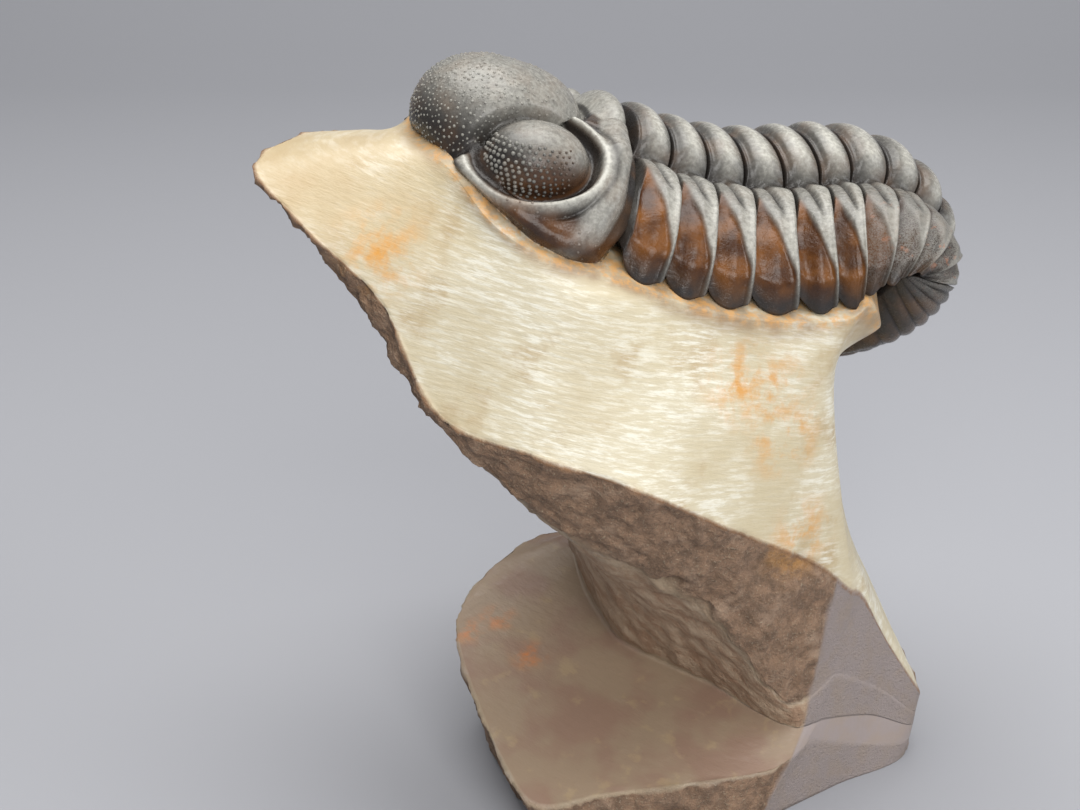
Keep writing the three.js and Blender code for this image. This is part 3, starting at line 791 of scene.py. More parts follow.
@dataclass
class ThoraxSegment:
    """One ring of the thorax: an arched axial lobe and a ribbed pleura on each side."""

    plan: BodyPlan
    number: int
    rows: int = 56
    columns: int = 90
    joint: float = 0.1
    ring_height: float = 0.85
    ring_sunk: float = 0.55
    knob_height: float = 0.28
    rib_height: float = 0.42
    rib_sunk: float = 0.3
    furrow_depth: float = 0.45
    shingle_rise: float = 0.95
    shingle_sunk: float = 0.75
    facet_depth: float = 0.30
    bead_height: float = 0.16
    edge_drop: float = 0.35

    @property
    def name(self) -> str:
        """Name of the piece: that of the solid it stands for, and the shell's ending."""
        return f"thorax_segment_{self.number + 1:02d}{SHELL}"

    def reach(self) -> tuple[float, float]:
        """Front edge and length of the segment along the back."""
        plan = self.plan
        extra = max(0, self.number - plan.front_segments)
        front = plan.thorax_start + min(self.number, plan.front_segments) * plan.front_pitch
        pitch = plan.front_pitch if self.number < plan.front_segments else plan.rear_pitch
        return front + extra * plan.rear_pitch, pitch - self.joint

    def facet(self, across: Array, w: Array) -> Array:
        """Share of the smooth leaf-shaped facet, pointed near the axis and widening to the tip."""
        upper = 0.43 + 0.36 * np.clip(w / 0.8, 0, 1.3) ** 1.25
        leaf = smoothstep(across - upper, -0.01, 0.05) * (1 - smoothstep(w, 0.83, 0.91))
        return leaf * smoothstep(w, 0.0, 0.06)

    def furrow(self, across: Array, w: Array, width: float) -> Array:
        """Share of the furrow that slants back across the inner pleura."""
        return bell(w, 0.3 + 0.45 * (across - self.plan.axis_end) / 0.3, width)

    def relief(self, across: Array, w: Array) -> Array:
        """Height over the plain section.

        Args:
            across: Share from the middle line (0) to the tip (1).
            w: Share from the front edge (0) to the rear edge (1).

        Returns:
            Millimetres.
        """
        end = self.plan.axis_end
        round_w = np.sin(math.pi * np.clip(w, 0, 1))
        ring = self.ring_height * round_w**0.6 - self.ring_sunk
        ring = ring + self.knob_height * bell(across, 0.235, 0.05) * round_w - 0.25 * bell(w, 0.13, 0.07)
        shingle = self.shingle_rise * smoothstep(w, 0.05, 0.6) - self.shingle_sunk
        shingle = shingle - 0.15 * smoothstep(w, 0.85, 1)
        facet = self.facet(across, w) * (self.bead_height * bell(across, 0.89, 0.03) - self.facet_depth)
        bead = self.bead_height * bell(w, 0.9, 0.07)
        rib = self.rib_height * round_w**0.6 - self.rib_sunk - self.furrow_depth * self.furrow(across, w, 0.1)
        outward = smoothstep(across, 0.45, 0.62)
        pleura = rib * (1 - outward) + (shingle + facet + bead) * outward
        edge = smoothstep(0.05 - w, 0, 0.05) + smoothstep(w, 0.955, 1) + bell(across, end, 0.035)
        side = smoothstep(across, end - 0.03, end + 0.03)
        return ring * (1 - side) + pleura * side - self.edge_drop * edge

    def tints(self, across: Array, w: Array) -> dict[Tint, Array]:
        """Shares of colour over the segment.

        Args:
            across: Share from the middle line to the side.
            w: Share from the front edge to the rear.

        Returns:
            The shares, each of shape (rows, columns).
        """
        rear = smoothstep(self.number, 4.5, 7.5)
        facet = self.facet(across, w)
        pleura = smoothstep(across, 0.34, 0.38)
        ridge = (1 - facet) * pleura * (1 - 0.75 * smoothstep(across, 0.8, 1))
        ridge = ridge * (0.55 + 0.45 * bell(w, 0.8, 0.25))
        # Painted highlight: a bright patch on the top of each axial ring, where the light falls.
        crown_highlight = bell(w, 0.56, 0.3) * (1 - 0.45 * smoothstep(across, 0.2, 0.31))
        crown_highlight = crown_highlight * (1 - smoothstep(across, 0.3, 0.35))
        # Painted shade in the pleural furrow, along the axial furrow and at the joints on both edges of the
        # segment.
        furrow = self.furrow(across, w, 0.08) * (1 - smoothstep(across, 0.5, 0.62)) * pleura
        crease = np.maximum(furrow, bell(across, self.plan.axis_end, 0.02) * 0.8)
        crease = np.maximum(crease, np.maximum(smoothstep(0.07 - w, 0, 0.06), smoothstep(w, 0.95, 1)))
        frost = smoothstep(across, 0.36, 0.46) * (1 - smoothstep(across, 0.88, 1)) * smoothstep(w, 0.1, 0.3)
        return {
            Tint.AMBER: facet * (1 - smoothstep(across, 0.88, 0.99)) * (1 - 0.9 * rear),
            Tint.FROST: 0.8 * rear * frost,
            Tint.CREASE: crease,
            Tint.WORN: np.maximum((0.85 - 0.3 * rear) * ridge, 1.05 * crown_highlight),
        }

    def build(self) -> bpy.types.Mesh:
        """Mesh of the segment with its shares of colour."""
        front, length = self.reach()
        w = np.linspace(0, 1, self.rows)
        w = 0.5 * w + 0.25 * (1 - np.cos(math.pi * w))
        return ringed_shell(self, (front, length), w, self.plan.tip_drop(w), self.plan.inside(front + length))


@dataclass
class Pygidium:
    """Tail shield: the body's section closing to the end, with rings and ribs that fade backwards."""

    plan: BodyPlan
    rows: int = 150
    columns: int = 130
    ribs: int = 8
    rib_height: float = 0.42
    rib_lean: float = 1.6
    furrow_depth: float = 0.35
    closing: float = 0.97
    name: str = f"pygidium{SHELL}"

    def crest(self, across: Array, w: Array) -> Array:
        """Share from a valley (0) to the crest of a rib (1)."""
        turned = w * self.ribs - self.rib_lean * np.maximum(0, across - self.plan.axis_end) * (1 + w)
        return np.abs(np.sin(math.pi * turned))

    def relief(self, across: Array, w: Array) -> Array:
        """Height over the plain section.

        Args:
            across: Share from the middle line (0) to the side (1).
            w: Share from the front edge (0) to the end (1).

        Returns:
            Millimetres.
        """
        ribs = self.rib_height * self.crest(across, w) ** 0.7 - 0.2
        plain = smoothstep(across, 0.86, 0.97)
        dip = self.furrow_depth * bell(across, self.plan.axis_end, 0.04)
        return (ribs * (1 - plain) - dip) * (1 - smoothstep(w, 0.6, 0.95))

    def tints(self, across: Array, w: Array) -> dict[Tint, Array]:
        """Shares of colour over the tail.

        Args:
            across: Share from the middle line to the side.
            w: Share from the front edge to the rear.

        Returns:
            The shares, each of shape (rows, columns).
        """
        crest = self.crest(across, w)
        return {
            Tint.FROST: 0.4 * smoothstep(across, 0.4, 0.6) * (1 - smoothstep(w, 0.1, 0.5)),
            # Painted shade in the valleys between the ribs.
            Tint.CREASE: 0.8 * smoothstep(1 - crest, 0.55, 1) * (1 - smoothstep(w, 0.7, 0.95)),
            # Rib tops a little paler: partly wear, partly painted highlight.
            Tint.WORN: 0.1 * crest * (1 - w),
        }

    def build(self) -> bpy.types.Mesh:
        """Mesh of the tail shield with its shares of colour."""
        front, length = self.plan.thorax_end, self.plan.tail_length
        w = np.sin(np.linspace(0, 1, self.rows) * math.pi * 0.5 * self.closing)
        end = self.plan.place(front + length, 0, 0, -1.2)
        return ringed_shell(self, (front, length), w, np.ones(self.rows), end)


def ringed_shell(piece: ThoraxSegment | Pygidium, reach: tuple[float, float], w: Array, drop: Array,
                 end: Array) -> bpy.types.Mesh:
    """Mesh of a piece that is made of rings along the body, with its relief and its shares of colour.

    Args:
        piece: The piece.
        reach: Its front edge and length.
        w: Share of the length at each ring.
        drop: Share of the body's depth that each ring reaches.
        end: Middle of the last ring.

    Returns:
        The mesh.
    """
    front, length = reach
    shares = shares_across(piece.columns)
    across = np.abs(shares)[None, :]
    rings = piece.plan.surface(front + w * length, shares, piece.relief(across, w[:, None]), drop)
    mesh = closed_mesh(piece.name, rings, (piece.plan.inside(front), end))
    store_tints(mesh, piece.tints(across, w[:, None]), rings.shape[:2])
    return mesh


@dataclass(frozen=True)
class Egg:
    """Ellipsoid in the head's own axes: x tailward, b leftward, n upward from the nape."""

    middle: Point
    half: Point
    tilt: float = 0.0

    def distance(self, spots: Array) -> Array:
        """Distance from places to the surface, about.

        Args:
            spots: Places, shape (..., 3).

        Returns:
            Millimetres, negative inside.
        """
        off = spots - np.array(self.middle)
        turn = math.radians(self.tilt)
        u = (off[..., 0] * math.cos(turn) + off[..., 2] * math.sin(turn)) / self.half[0]
        v = (off[..., 2] * math.cos(turn) - off[..., 0] * math.sin(turn)) / self.half[2]
        w = off[..., 1] / self.half[1]
        return (np.sqrt(u * u + v * v + w * w) - 1) * min(self.half)

    def point(self, longitude: Array, latitude: Array) -> tuple[Array, Array]:
        """Points of the surface.

        Args:
            longitude: Angles forwards from straight left.
            latitude: Angles upwards.

        Returns:
            The points and the ways they face, each of shape (count, 3).
        """
        turn = math.radians(self.tilt)
        flat = np.stack([-np.sin(longitude) * np.cos(latitude), np.cos(longitude) * np.cos(latitude),
                         np.sin(latitude)], -1)

        def tilted(v: Array) -> Array:
            """Vectors turned with the ellipsoid."""
            x = v[..., 0] * math.cos(turn) - v[..., 2] * math.sin(turn)
            n = v[..., 0] * math.sin(turn) + v[..., 2] * math.cos(turn)
            return np.stack([x, v[..., 1], n], -1)

        face = tilted(flat / np.array(self.half))
        face = face / np.linalg.norm(face, axis=-1, keepdims=True)
        return np.array(self.middle) + tilted(flat * np.array(self.half)), face


def bar(line: tuple[Point, ...], radius: float, spots: Array) -> Array:
    """Distance from places to a rounded bar.

    Args:
        line: Corners of the bar's middle line.
        radius: Its radius.
        spots: Places, shape (..., 3).

    Returns:
        Millimetres, negative inside.
    """
    best = np.full(spots.shape[:-1], np.inf)
    for start, stop in zip(line, line[1:]):
        way = np.array(stop) - np.array(start)
        off = spots - np.array(start)
        t = np.clip((off @ way) / (way @ way), 0, 1)
        best = np.minimum(best, np.linalg.norm(off - way * t[..., None], axis=-1))
    return best - radius


def blend(a: Array, b: Array, round_off: float) -> Array:
    """Smaller of two distances, rounded where they cross."""
    h = np.maximum(round_off - np.abs(a - b), 0) / round_off
    return np.minimum(a, b) - h * h * round_off / 4


@dataclass
class Cephalon:
    """Head shield: the bulb in front, an eye on each side, the cheeks and the ring behind."""

    plan: BodyPlan
    bulb: Egg = Egg((-7.9, 0, -6.4), (6.1, 6.3, 5.2), 6)
    bulb_back: Egg = Egg((-5, 0, -5.4), (4.2, 4.5, 4.4))
    bulb_round: float = 1.5
    bulb_ease: float = 0.7
    shield: Egg = Egg((-1.6, 0, -11), (10.9, 12.2, 9.3))
    eye: Egg = Egg((-6.2, 7.2, -6.7), (3.95, 3.6, 2.95), 19)
    ring: Egg = Egg((0, 0, -3.3), (1.6, 4.9, 3.3))
    moat_depth: float = 1.0
    moat_width: float = 0.9
    border: tuple[Point, ...] = (
        (-0.6, 4.8, -2.4), (-0.9, 8, -3.6), (-1.2, 10.6, -6.4), (-1.8, 11.5, -9.2), (-2.6, 11.2, -11),
    )
    border_radius: float = 1.15
    rim_height: float = 0.5
    rim_out: float = 1.2
    rim_width: float = 0.3
    thread: tuple[float, float, float] = (0.5, 0.13, 0.22)
    furrow: tuple[float, float, float] = (1.75, 0.2, 0.3)
    behind: tuple[float, float] = (-5.4, -3.8)
    brim: tuple[Point, ...] = ((-3, 11.5, -10.9), (-7, 10.5, -10.8), (-10, 8, -10.3), (-11.2, 6.2, -9.9))
    brim_radius: float = 0.62
    base: Egg = Egg((-1.6, 0, -11), (10.7, 12.3, 9.3))
    base_height: float = 1.5
    base_front: float = 1.3
    sole_level: float = -11.9
    sole_front: float = -13.4
    sole_slope: float = -0.3
    side_lean: float = 0.75
    skirt: float = 0.2
    corner: float = 2.6
    edge_round: float = 0.15
    net_step: float = 0.165
    grid: tuple[tuple[float, float], ...] = ((-16.0, 3.0), (0.0, 15.0), (-13.5, 1.5))
    lens_levels: Point = (-48.0, 38.0, 8.0)
    lens_turns: Point = (-25.0, 120.0, 8.0)
    lens_radius: float = 0.12
    lens_growth: float = 0.05
    lens_seed: int = 5
    name: str = f"cephalon{SHELL}"

    def lean(self, b: Array) -> Array:
        """How far the rear edge stands forwards of a straight one."""
        out = np.abs(b)
        overlap = self.skirt * (1 + smoothstep(out, 8, 12))
        return self.side_lean * smoothstep(out / self.plan.half_width, 0.4, 1) - overlap

    def sole(self, x: Array) -> Array:
        """Height of the flat underside."""
        return np.maximum(self.sole_level, self.sole_front + self.sole_slope * x)

    def glabella(self, spots: Array) -> Array:
        """Distance from places to the bulb, negative inside."""
        return blend(self.bulb.distance(spots), self.bulb_back.distance(spots), self.bulb_round)

    def distance(self, spots: Array) -> Array:
        """Distance from places to the head's surface, about.

        Args:
            spots: Places in the left half of the head, shape (..., 3).

        Returns:
            Millimetres, negative inside.
        """
        x, b, n = np.moveaxis(spots, -1, 0)
        eye = self.eye.distance(spots)
        bulb = self.glabella(spots) + self.bulb_ease * (1 - smoothstep(eye, 0.2, 1.3))
        near_eye = 1 - smoothstep(eye, self.moat_width * 0.5, self.moat_width)
        near_bulb = bell(np.maximum(bulb, 0), 0, self.moat_width * 0.7)
        clear = smoothstep(bulb, 0.4, 1.3)
        rim = self.rim_height * bell(eye, self.rim_out, self.rim_width) * clear
        lines = [high * bell(eye, out, width) for out, width, high in (self.thread, self.furrow)]
        d = self.shield.distance(spots) + self.moat_depth * np.maximum(near_eye, near_bulb)
        d = d - rim - (lines[0] - lines[1]) * smoothstep(x, *self.behind) * clear
        height = self.base_height + self.base_front * smoothstep(-x, 8.2, 9.8)
        base = np.maximum(self.base.distance(spots), n - self.sole(x) - height)
        brim = bar(self.brim, self.brim_radius, spots)
        border = bar(self.border, self.border_radius, spots)
        ring = self.ring.distance(spots)
        for part, rounding in ((base, 0.5), (brim, 0.5), (border, 0.9), (bulb, 0.3), (eye, 0.3), (ring, 0.4)):
            d = blend(d, part, rounding)
        rounding = self.edge_round + self.corner * smoothstep(-n, 7.5, 11)
        uncut = blend(-d, self.plan.head_back - x - self.lean(b), rounding)
        return -blend(uncut, n - self.sole(x), rounding * 0.5)

    def shape(self, step: float, grow: float = 0.0) -> tuple[Array, Array, Array]:
        """Net over the head's surface.

        Args:
            step: Spacing of the net in millimetres.
            grow: Millimetres outside the true surface.

        Returns:
            Points in the shared frame, the same in the head's own axes, and the faces' corners.
        """
        x, b, n = (np.arange(low, high, step) for low, high in self.grid)
        half = self.distance(np.stack(np.meshgrid(x, b, n, indexing="ij"), -1)) - grow
        whole = np.concatenate([half[:, :0:-1], half], 1)
        own, faces = net_mesh(self.name, whole, (x[0], -b[-1], n[0]), step)
        return self.plan.place(0, own[:, 0], own[:, 1], own[:, 2]), own, faces

    def tints(self, own: Array) -> dict[Tint, Array]:
        """Shares of colour over the head.

        Args:
            own: Places in the head's own axes, shape (count, 3).

        Returns:
            The shares at each place.
        """
        spots = np.where([False, True, False], np.abs(own), own)
        x, _, n = spots.T
        eye, bulb = self.eye.distance(spots), self.glabella(spots)
        on_bulb = 1 - smoothstep(bulb, 0.05, 0.4)
        on_eye = 1 - smoothstep(eye, 0.05, 0.35)
        off_both = (1 - on_bulb) * (1 - on_eye)
        cheek = off_both * smoothstep(-n, 8.2, 10.2) * smoothstep(x, -10.5, -7)
        ring = 1 - smoothstep(self.ring.distance(spots), 0.05, 0.4)
        border = 1 - smoothstep(bar(self.border, self.border_radius, spots), 0.02, 0.4)
        # Painted shade: the groove between eye and bulb, the furrow behind the eye, and darker towards the
        # bottom of the cheek.
        gap = np.minimum(np.abs(eye - 0.4), np.abs(bulb - 0.35))
        furrow = smoothstep(x, *self.behind) * bell(eye, self.furrow[0], self.furrow[1])
        crease = np.maximum(1 - smoothstep(gap, 0.25, 0.5), 0.8 * furrow) * off_both
        between_them = (1 - smoothstep(eye, 0.1, 0.9)) * (1 - smoothstep(bulb, 0.1, 0.8))
        crease = np.maximum(np.maximum(crease, 0.85 * between_them), 0.35 * cheek * smoothstep(-n, 10.2, 11.6))
        grain = on_bulb * (0.3 + 0.7 * smoothstep(-x, 5.5, 10.5)) * (1 - smoothstep(n, -2.5, -1.2) * 0.6)
        brown_eye = on_eye * smoothstep(x, -9, -5.5) * (1 - smoothstep(n, -6.4, -4.6))
        # Painted highlight on the eye rims, and on the upper bulb and eye where they face up towards the light;
        # the neck ring and border are partly wear, partly painted highlight.
        rim = bell(eye, self.rim_out, self.rim_width) * smoothstep(bulb, 0.5, 1.4) * (1 - on_eye)
        lit = 0.58 * smoothstep(n, -8.5, -3.5) * on_bulb + 0.6 * on_eye * smoothstep(n, -7.4, -4.2)
        worn = np.maximum(np.maximum(1.25 * rim, 0.7 * ring), np.maximum(0.62 * border, lit))
        return {
            Tint.AMBER: np.clip(0.6 * cheek + 0.6 * brown_eye, 0, 1) * (1 - border * 0.5),
            Tint.CREASE: np.clip(crease, 0, 1),
            Tint.GRAIN: grain + 0.15 * cheek,
            Tint.WORN: np.clip(worn, 0, 1.2),
        }

    def build(self) -> bpy.types.Mesh:
        """Mesh of the head shield with its shares of colour."""
        points, own, faces = self.shape(self.net_step)
        mesh = mesh_of(self.name, points, faces.tolist())
        store_tints(mesh, self.tints(own), own.shape[:1])
        return mesh

    def lens_seats(self) -> tuple[Array, Array, Array, Array]:
        """Rows of lenses on both eyes.

        Returns:
            Places, ways they face, radii and nearness to the front, in millimetres in the shared frame.
        """
        seats, facings, radii, fades = [], [], [], []
        chance = np.random.default_rng(self.lens_seed)
        first, last, step = self.lens_turns
        for row, latitude in enumerate(np.radians(np.arange(*self.lens_levels))):
            turns = np.arange(first, last, step / max(0.3, math.cos(latitude))) + (row % 2) * step / 2
            turns = turns + chance.normal(0, 0.9, turns.shape)
            spot, face = self.eye.point(np.radians(turns), latitude + chance.normal(0, 0.014, turns.shape))
            seats.append(spot)
            facings.append(face)
            near = smoothstep(turns, -25, 45)
            radii.append((self.lens_radius + self.lens_growth * near) * chance.uniform(0.85, 1.15, turns.shape))
            # Lenses paler towards the front: partly pale calcite, partly painted highlight on their lit side.
            fades.append(0.1 + 0.7 * near)
        open_side = self.bulb.distance(np.concatenate(seats)) > 0.5
        left = [np.concatenate(v)[open_side] for v in (seats, facings)]
        spot, face = (np.concatenate([v, v * np.array([1, -1, 1])]) for v in left)
        origin = self.plan.place(0, *spot.T)
        ahead = self.plan.place(0, *(spot + face).T)
        radius, fade = (np.tile(np.concatenate(v)[open_side], 2) for v in (radii, fades))
        return origin, ahead - origin, radius, fade


class BeadTree(Nodes):
    """Geometry nodes that stud a shell with granules, and set lenses on loose points of its mesh."""

    sockets: tuple[tuple[str, str], ...] = (
        ("Geometry", "Geometry"), ("Spacing", "Float"), ("Density", "Float"), ("Granule Radius", "Float"),
        ("Seed", "Int"), ("Finish", "Material"),
    )
    stud_sides: int = 7
    stud_rings: int = 5
    size_range: tuple[float, float] = (0.65, 1.25)
    flatness: float = 0.6
    # Wear and highlight share of each granule: partly wear, partly painted highlight on its top.
    granule_wear_and_highlight: float = 0.6
    least_radius: float = 1e-6

    def __init__(self) -> None:
        """Builds the tree with its named inputs."""
        super().__init__(bpy.data.node_groups.new("studs", "GeometryNodeTree"))
        for name, kind in self.sockets:
            self.tree.interface.new_socket(name, in_out="INPUT", socket_type=f"NodeSocket{kind}")
        self.tree.interface.new_socket("Geometry", in_out="OUTPUT", socket_type="NodeSocketGeometry")
        given = self.add("NodeGroupInput").outputs
        sphere = {"Segments": self.stud_sides, "Rings": self.stud_rings, "Radius": 1.0}
        stud = self.out("GeometryNodeMeshUVSphere", sphere)
        stud = self.out("GeometryNodeSetShadeSmooth", {"Geometry": stud})
        radius = self.layer(LENS_RADIUS)
        is_seat = self.out("FunctionNodeCompare", {0: radius, 1: self.least_radius},
                           data_type="FLOAT", operation="GREATER_THAN")
        parted = self.add("GeometryNodeSeparateGeometry", {
            "Geometry": given["Geometry"], "Selection": is_seat}, domain="POINT").outputs
        lenses = self.lenses(stud, parted["Selection"], radius)
        joined = self.add("GeometryNodeJoinGeometry")
        for part in (lenses, self.granules(stud, given), parted["Inverted"]):
            self.tree.links.new(part, joined.inputs[0])
        real = self.out("GeometryNodeRealizeInstances", {"Geometry": joined.outputs[0]})
        dressed = self.out("GeometryNodeSetMaterial", {"Geometry": real, "Material": given["Finish"]})
        self.add("NodeGroupOutput", {0: dressed})

    def layer(self, name: str, kind: str = "FLOAT") -> Socket:
        """Values stored at the points of the mesh."""
        return self.out("GeometryNodeInputNamedAttribute", {"Name": name}, data_type=kind)

    def granules(self, stud: Socket, given: bpy.types.NodeOutputs) -> Socket:
        """Low studs scattered over the grainy part of the shell.

        Args:
            stud: Shape of one stud.
            given: Inputs of the tree.

        Returns:
            The granules.
        """
        spots = self.add("GeometryNodeDistributePointsOnFaces", {
            "Mesh": given["Geometry"], "Distance Min": given["Spacing"], "Density Max": given["Density"],
            "Density Factor": self.layer(Tint.GRAIN.value), "Seed": given["Seed"],
        }, distribute_method="POISSON").outputs
        low, high = self.size_range
        chance = {2: low, 3: high, "Seed": given["Seed"]}
        change = self.add("FunctionNodeRandomValue", chance, data_type="FLOAT").outputs[1]
        size = self.out("ShaderNodeMath", {0: given["Granule Radius"], 1: change}, operation="MULTIPLY")
        flat = self.out("ShaderNodeMath", {0: size, 1: self.flatness}, operation="MULTIPLY")
        # Stores that share on every granule: partly wear, partly painted highlight.
        shine = {"Geometry": spots["Points"], "Name": Tint.WORN.value, "Value": self.granule_wear_and_highlight}
        silvered_points = self.out("GeometryNodeStoreNamedAttribute", shine, data_type="FLOAT")
        return self.out("GeometryNodeInstanceOnPoints", {
            "Points": silvered_points, "Instance": stud, "Rotation": spots["Rotation"],
            "Scale": self.out("ShaderNodeCombineXYZ", {"X": size, "Y": size, "Z": flat}),
        })

    def lenses(self, stud: Socket, seats: Socket, radius: Socket) -> Socket:
        """One round stud on each loose point.

        Args:
            stud: Shape of one stud.
            seats: The loose points.
            radius: Radius stored at each.

        Returns:
            The lenses.
        """
        facing = {"Vector": self.layer(LENS_FACING, "FLOAT_VECTOR")}
        return self.out("GeometryNodeInstanceOnPoints", {
            "Points": self.out("GeometryNodeMeshToPoints", {"Mesh": seats}), "Instance": stud, "Scale": radius,
            "Rotation": self.out("FunctionNodeAlignRotationToVector", facing, axis="Z"),
        })

    def apply(self, obj: bpy.types.Object, values: dict) -> None:
        """Runs the tree on an object and keeps the result as its plain mesh.

        Args:
            obj: Object to stud.
            values: Named inputs of the tree.
        """
        modifier = obj.modifiers.new("studs", "NODES")
        modifier.node_group = self.tree
        sockets = {s.name: s.identifier for s in self.tree.interface.items_tree if s.in_out == "INPUT"}
        for name, value in values.items():
            modifier[sockets[name]] = value
        obj.update_tag()
        settle(obj)


@dataclass
class StoneBlock:
    """The block: a ground hollow under the animal, a broken side, an undercut and a flat base plate.

    Each feature line runs once round the block by seventeen spokes, from the right-hand corner by the
    front to the beak at the left, and back behind.
    """

    plan: BodyPlan
    head: Cephalon
    contact: tuple[Spoke, ...] = (
        ("at", (10.6, 1.5, 35.6)), ("at", (11.6, -4.5, 38.4)), ("at", (14, -9.4, 41.4)),
        ("tip", (21, 1)), ("tip", (18, 1)), ("tip", (13.5, 1)), ("tip", (8, 1)), ("tip", (2.8, 1)),
        ("head", (-4.3, 11.6, -12)), ("head", (-7.9, 9.9, -11.7)), ("head", (-10.9, 6, -10)),
        ("head", (-12.2, 0, -9.6)), ("head", (-10.9, -6, -9)), ("head", (-6, -11, -11.2)),
        ("tip", (2.8, -1)), ("tip", (11, -1)), ("tip", (20, -1)),
    )
    neck: tuple[Point, ...] = (
        (10, 2, 33.6), (10, -3.5, 35.6), (10.6, -9, 38.2), (10.6, -11.2, 39.2), (9.8, -13, 40), (4, -15.2, 41),
        (-2, -17.6, 43.6), (-7.4, -19.4, 47), (-12.8, -19.4, 48.6), (-16.4, -18.2, 51.6), (-21, -14.6, 54.8),
        (-24.4, -9.8, 56.6), (-23.4, -2.6, 55.2), (-19.4, 6, 47), (-12, 10.6, 43.4), (-1.5, 14.4, 40),
        (7, 11.5, 37),
    )
    dish: tuple[Point, ...] = (
        (11.3, 2, 25.4), (11, -3.6, 28.2), (11, -8.8, 30.6), (11, -10.8, 31), (9.2, -13.2, 32), (3, -16.8, 35),
        (-3.4, -19.8, 38.4), (-9.8, -20.8, 42), (-16, -20, 44.4), (-20.5, -18.4, 49), (-25.4, -14.8, 52.8),
        (-29, -9.9, 55.8), (-25.6, -3, 55.4), (-19.8, 8, 44), (-10.4, 14, 38.6), (1, 17.2, 33),
        (9.4, 12.6, 27),
    )
    rim: tuple[Point, ...] = (
        (20.3, -2.7, 5.3), (17.2, -5.3, 10.8), (13.9, -8, 17.2), (12.9, -9.3, 18.2), (9.9, -12, 21.8),
        (1.6, -18.6, 28.3), (-5, -22.5, 33), (-12.8, -22.5, 35.8), (-19.9, -21, 38.3), (-24.4, -18.4, 46.6),
        (-30.3, -15, 51.5), (-34.2, -10, 54.7), (-28.5, -2.4, 55.2), (-21, 10, 42), (-10, 17.5, 34),
        (3, 21, 26), (13.5, 14, 15),
    )
    lip: tuple[Point, ...] = (
        (20, -2.9, 3.9), (16.3, -6, 8), (12, -9.6, 11.5), (11.3, -10.1, 11), (8.2, -12, 9.6), (0.8, -16, 20.6),
        (-5, -18.4, 25.6), (-11, -19.3, 28.8), (-19.9, -20, 37.2), (-24.2, -17.6, 43), (-29, -14, 49.6),
        (-32.6, -9.8, 52.4), (-27.4, -4, 52), (-20, 7.5, 38), (-9.5, 16.5, 29), (3.5, 20.5, 21), (14, 13, 11),
    )
    throat: tuple[Point, ...] = (
        (19.9, -3, 3.2), (15.8, -6.4, 6.6), (11.4, -10.1, 9), (10.7, -10.7, 8.8), (8.3, -11.8, 8),
        (0.9, -10.6, 14), (-3.6, -10, 17), (-6.6, -9, 19), (-9.6, -7.4, 23.6), (-11.4, -5, 26), (-12.2, -2, 28),
        (-12.4, 2, 29), (-11.6, 6, 28), (-10, 11.6, 22), (-4.5, 16.4, 18), (5, 19.4, 13), (14.2, 12.5, 8),
    )
    corner: tuple[Point, ...] = (
        (19.8, -3.1, 2.6), (15.4, -6.8, 5.4), (10.9, -10.5, 7), (10.2, -11, 7), (8.4, -11.7, 7), (1, -6.4, 8.6),
        (-3, -3.8, 9.4), (-5.6, -1.8, 10), (-7.6, 2, 11.2), (-8.6, 5, 12), (-9.2, 8, 13),
        (-9.4, 10.4, 13.6), (-9.4, 12.2, 13.8), (-8, 14.6, 12), (-2, 18, 10), (6, 19, 7), (14.5, 12, 5.5),
    )
    plate: tuple[Point, ...] = (
        (19.5, -3.35, 1.3), (14.4, -7.6, 3.2), (10, -11.3, 5.6), (9.3, -12.1, 5.4), (7, -14.2, 4.7),
        (0.4, -17.2, 5), (-7.7, -18.8, 4.7), (-12.9, -20, 4.5), (-15.8, -15.1, 6), (-17.6, -9.8, 7.6),
        (-19.7, -1.8, 10), (-19.5, 2.2, 11), (-16.1, 8, 12.8), (-11.2, 14, 12.8), (-3, 18.6, 9),
        (6.5, 19.4, 5.5), (15, 12.2, 4),
    )
    floor: tuple[Point, ...] = (
        (19.2, -3.6, 0), (12.6, -9.1, 0), (6.6, -14.1, 0), (6, -14.6, 0), (4.8, -15.6, 0), (-1.5, -17.6, 0),
        (-8, -18.2, 0), (-11.6, -16.6, 0), (-13.4, -13, 0), (-15.2, -8, 0), (-16.8, -2, 0),
        (-17, 3, 0), (-14.6, 9, 0), (-10, 14, 0), (-2, 18, 0), (7, 18.6, 0), (15.4, 11.4, 0),
    )
    margin_out: float = 0.45
    margin_down: float = 0.3
    roof_share: float = 0.72
    roof_rise: float = 3.0
    seat_inward: float = 0.12
    seat_up: float = 0.45
    under_head: float = -8.0
    under_thorax: float = 24.0
    round_steps: int = 400
    hollow_rows: int = 68
    bed_gap: float = 0.1
    bed_step: float = 0.5
    bed_columns: int = 60
    bed_drop: float = 0.95
    bed_net: float = 0.4
    sawn_spokes: float = 3.6
    sawn_behind: tuple[float, float] = (16.4, 16.8)
    bumps: tuple[tuple[float, int, float], ...] = ((0.42, 4, 0.0), (0.12, 2, 3.0), (1.9, 3, 7.0))
    unevenness: tuple[tuple[Zone, Point], ...] = (
        (Zone.BROKEN, (0.55, 0, 0.17)), (Zone.UNDERCUT, (0.34, 0, 0.08)),
        (Zone.PLATE, (0, 0.08, 0.02)), (Zone.GROUND, (0, 0.14, 0.012)),
    )
    pit: Point = (-2.5, -16.9, 23.1)
    pit_size: Point = (1.5, 1.5, 0.7)
    pit_depth: float = 1.6
    name: str = f"matrix{STONE}"
    band_rows: tuple[tuple[str, int], ...] = (
        ("rim", 34), ("lip", 36), ("throat", 22), ("corner", 34), ("plate", 14), ("floor", 1))

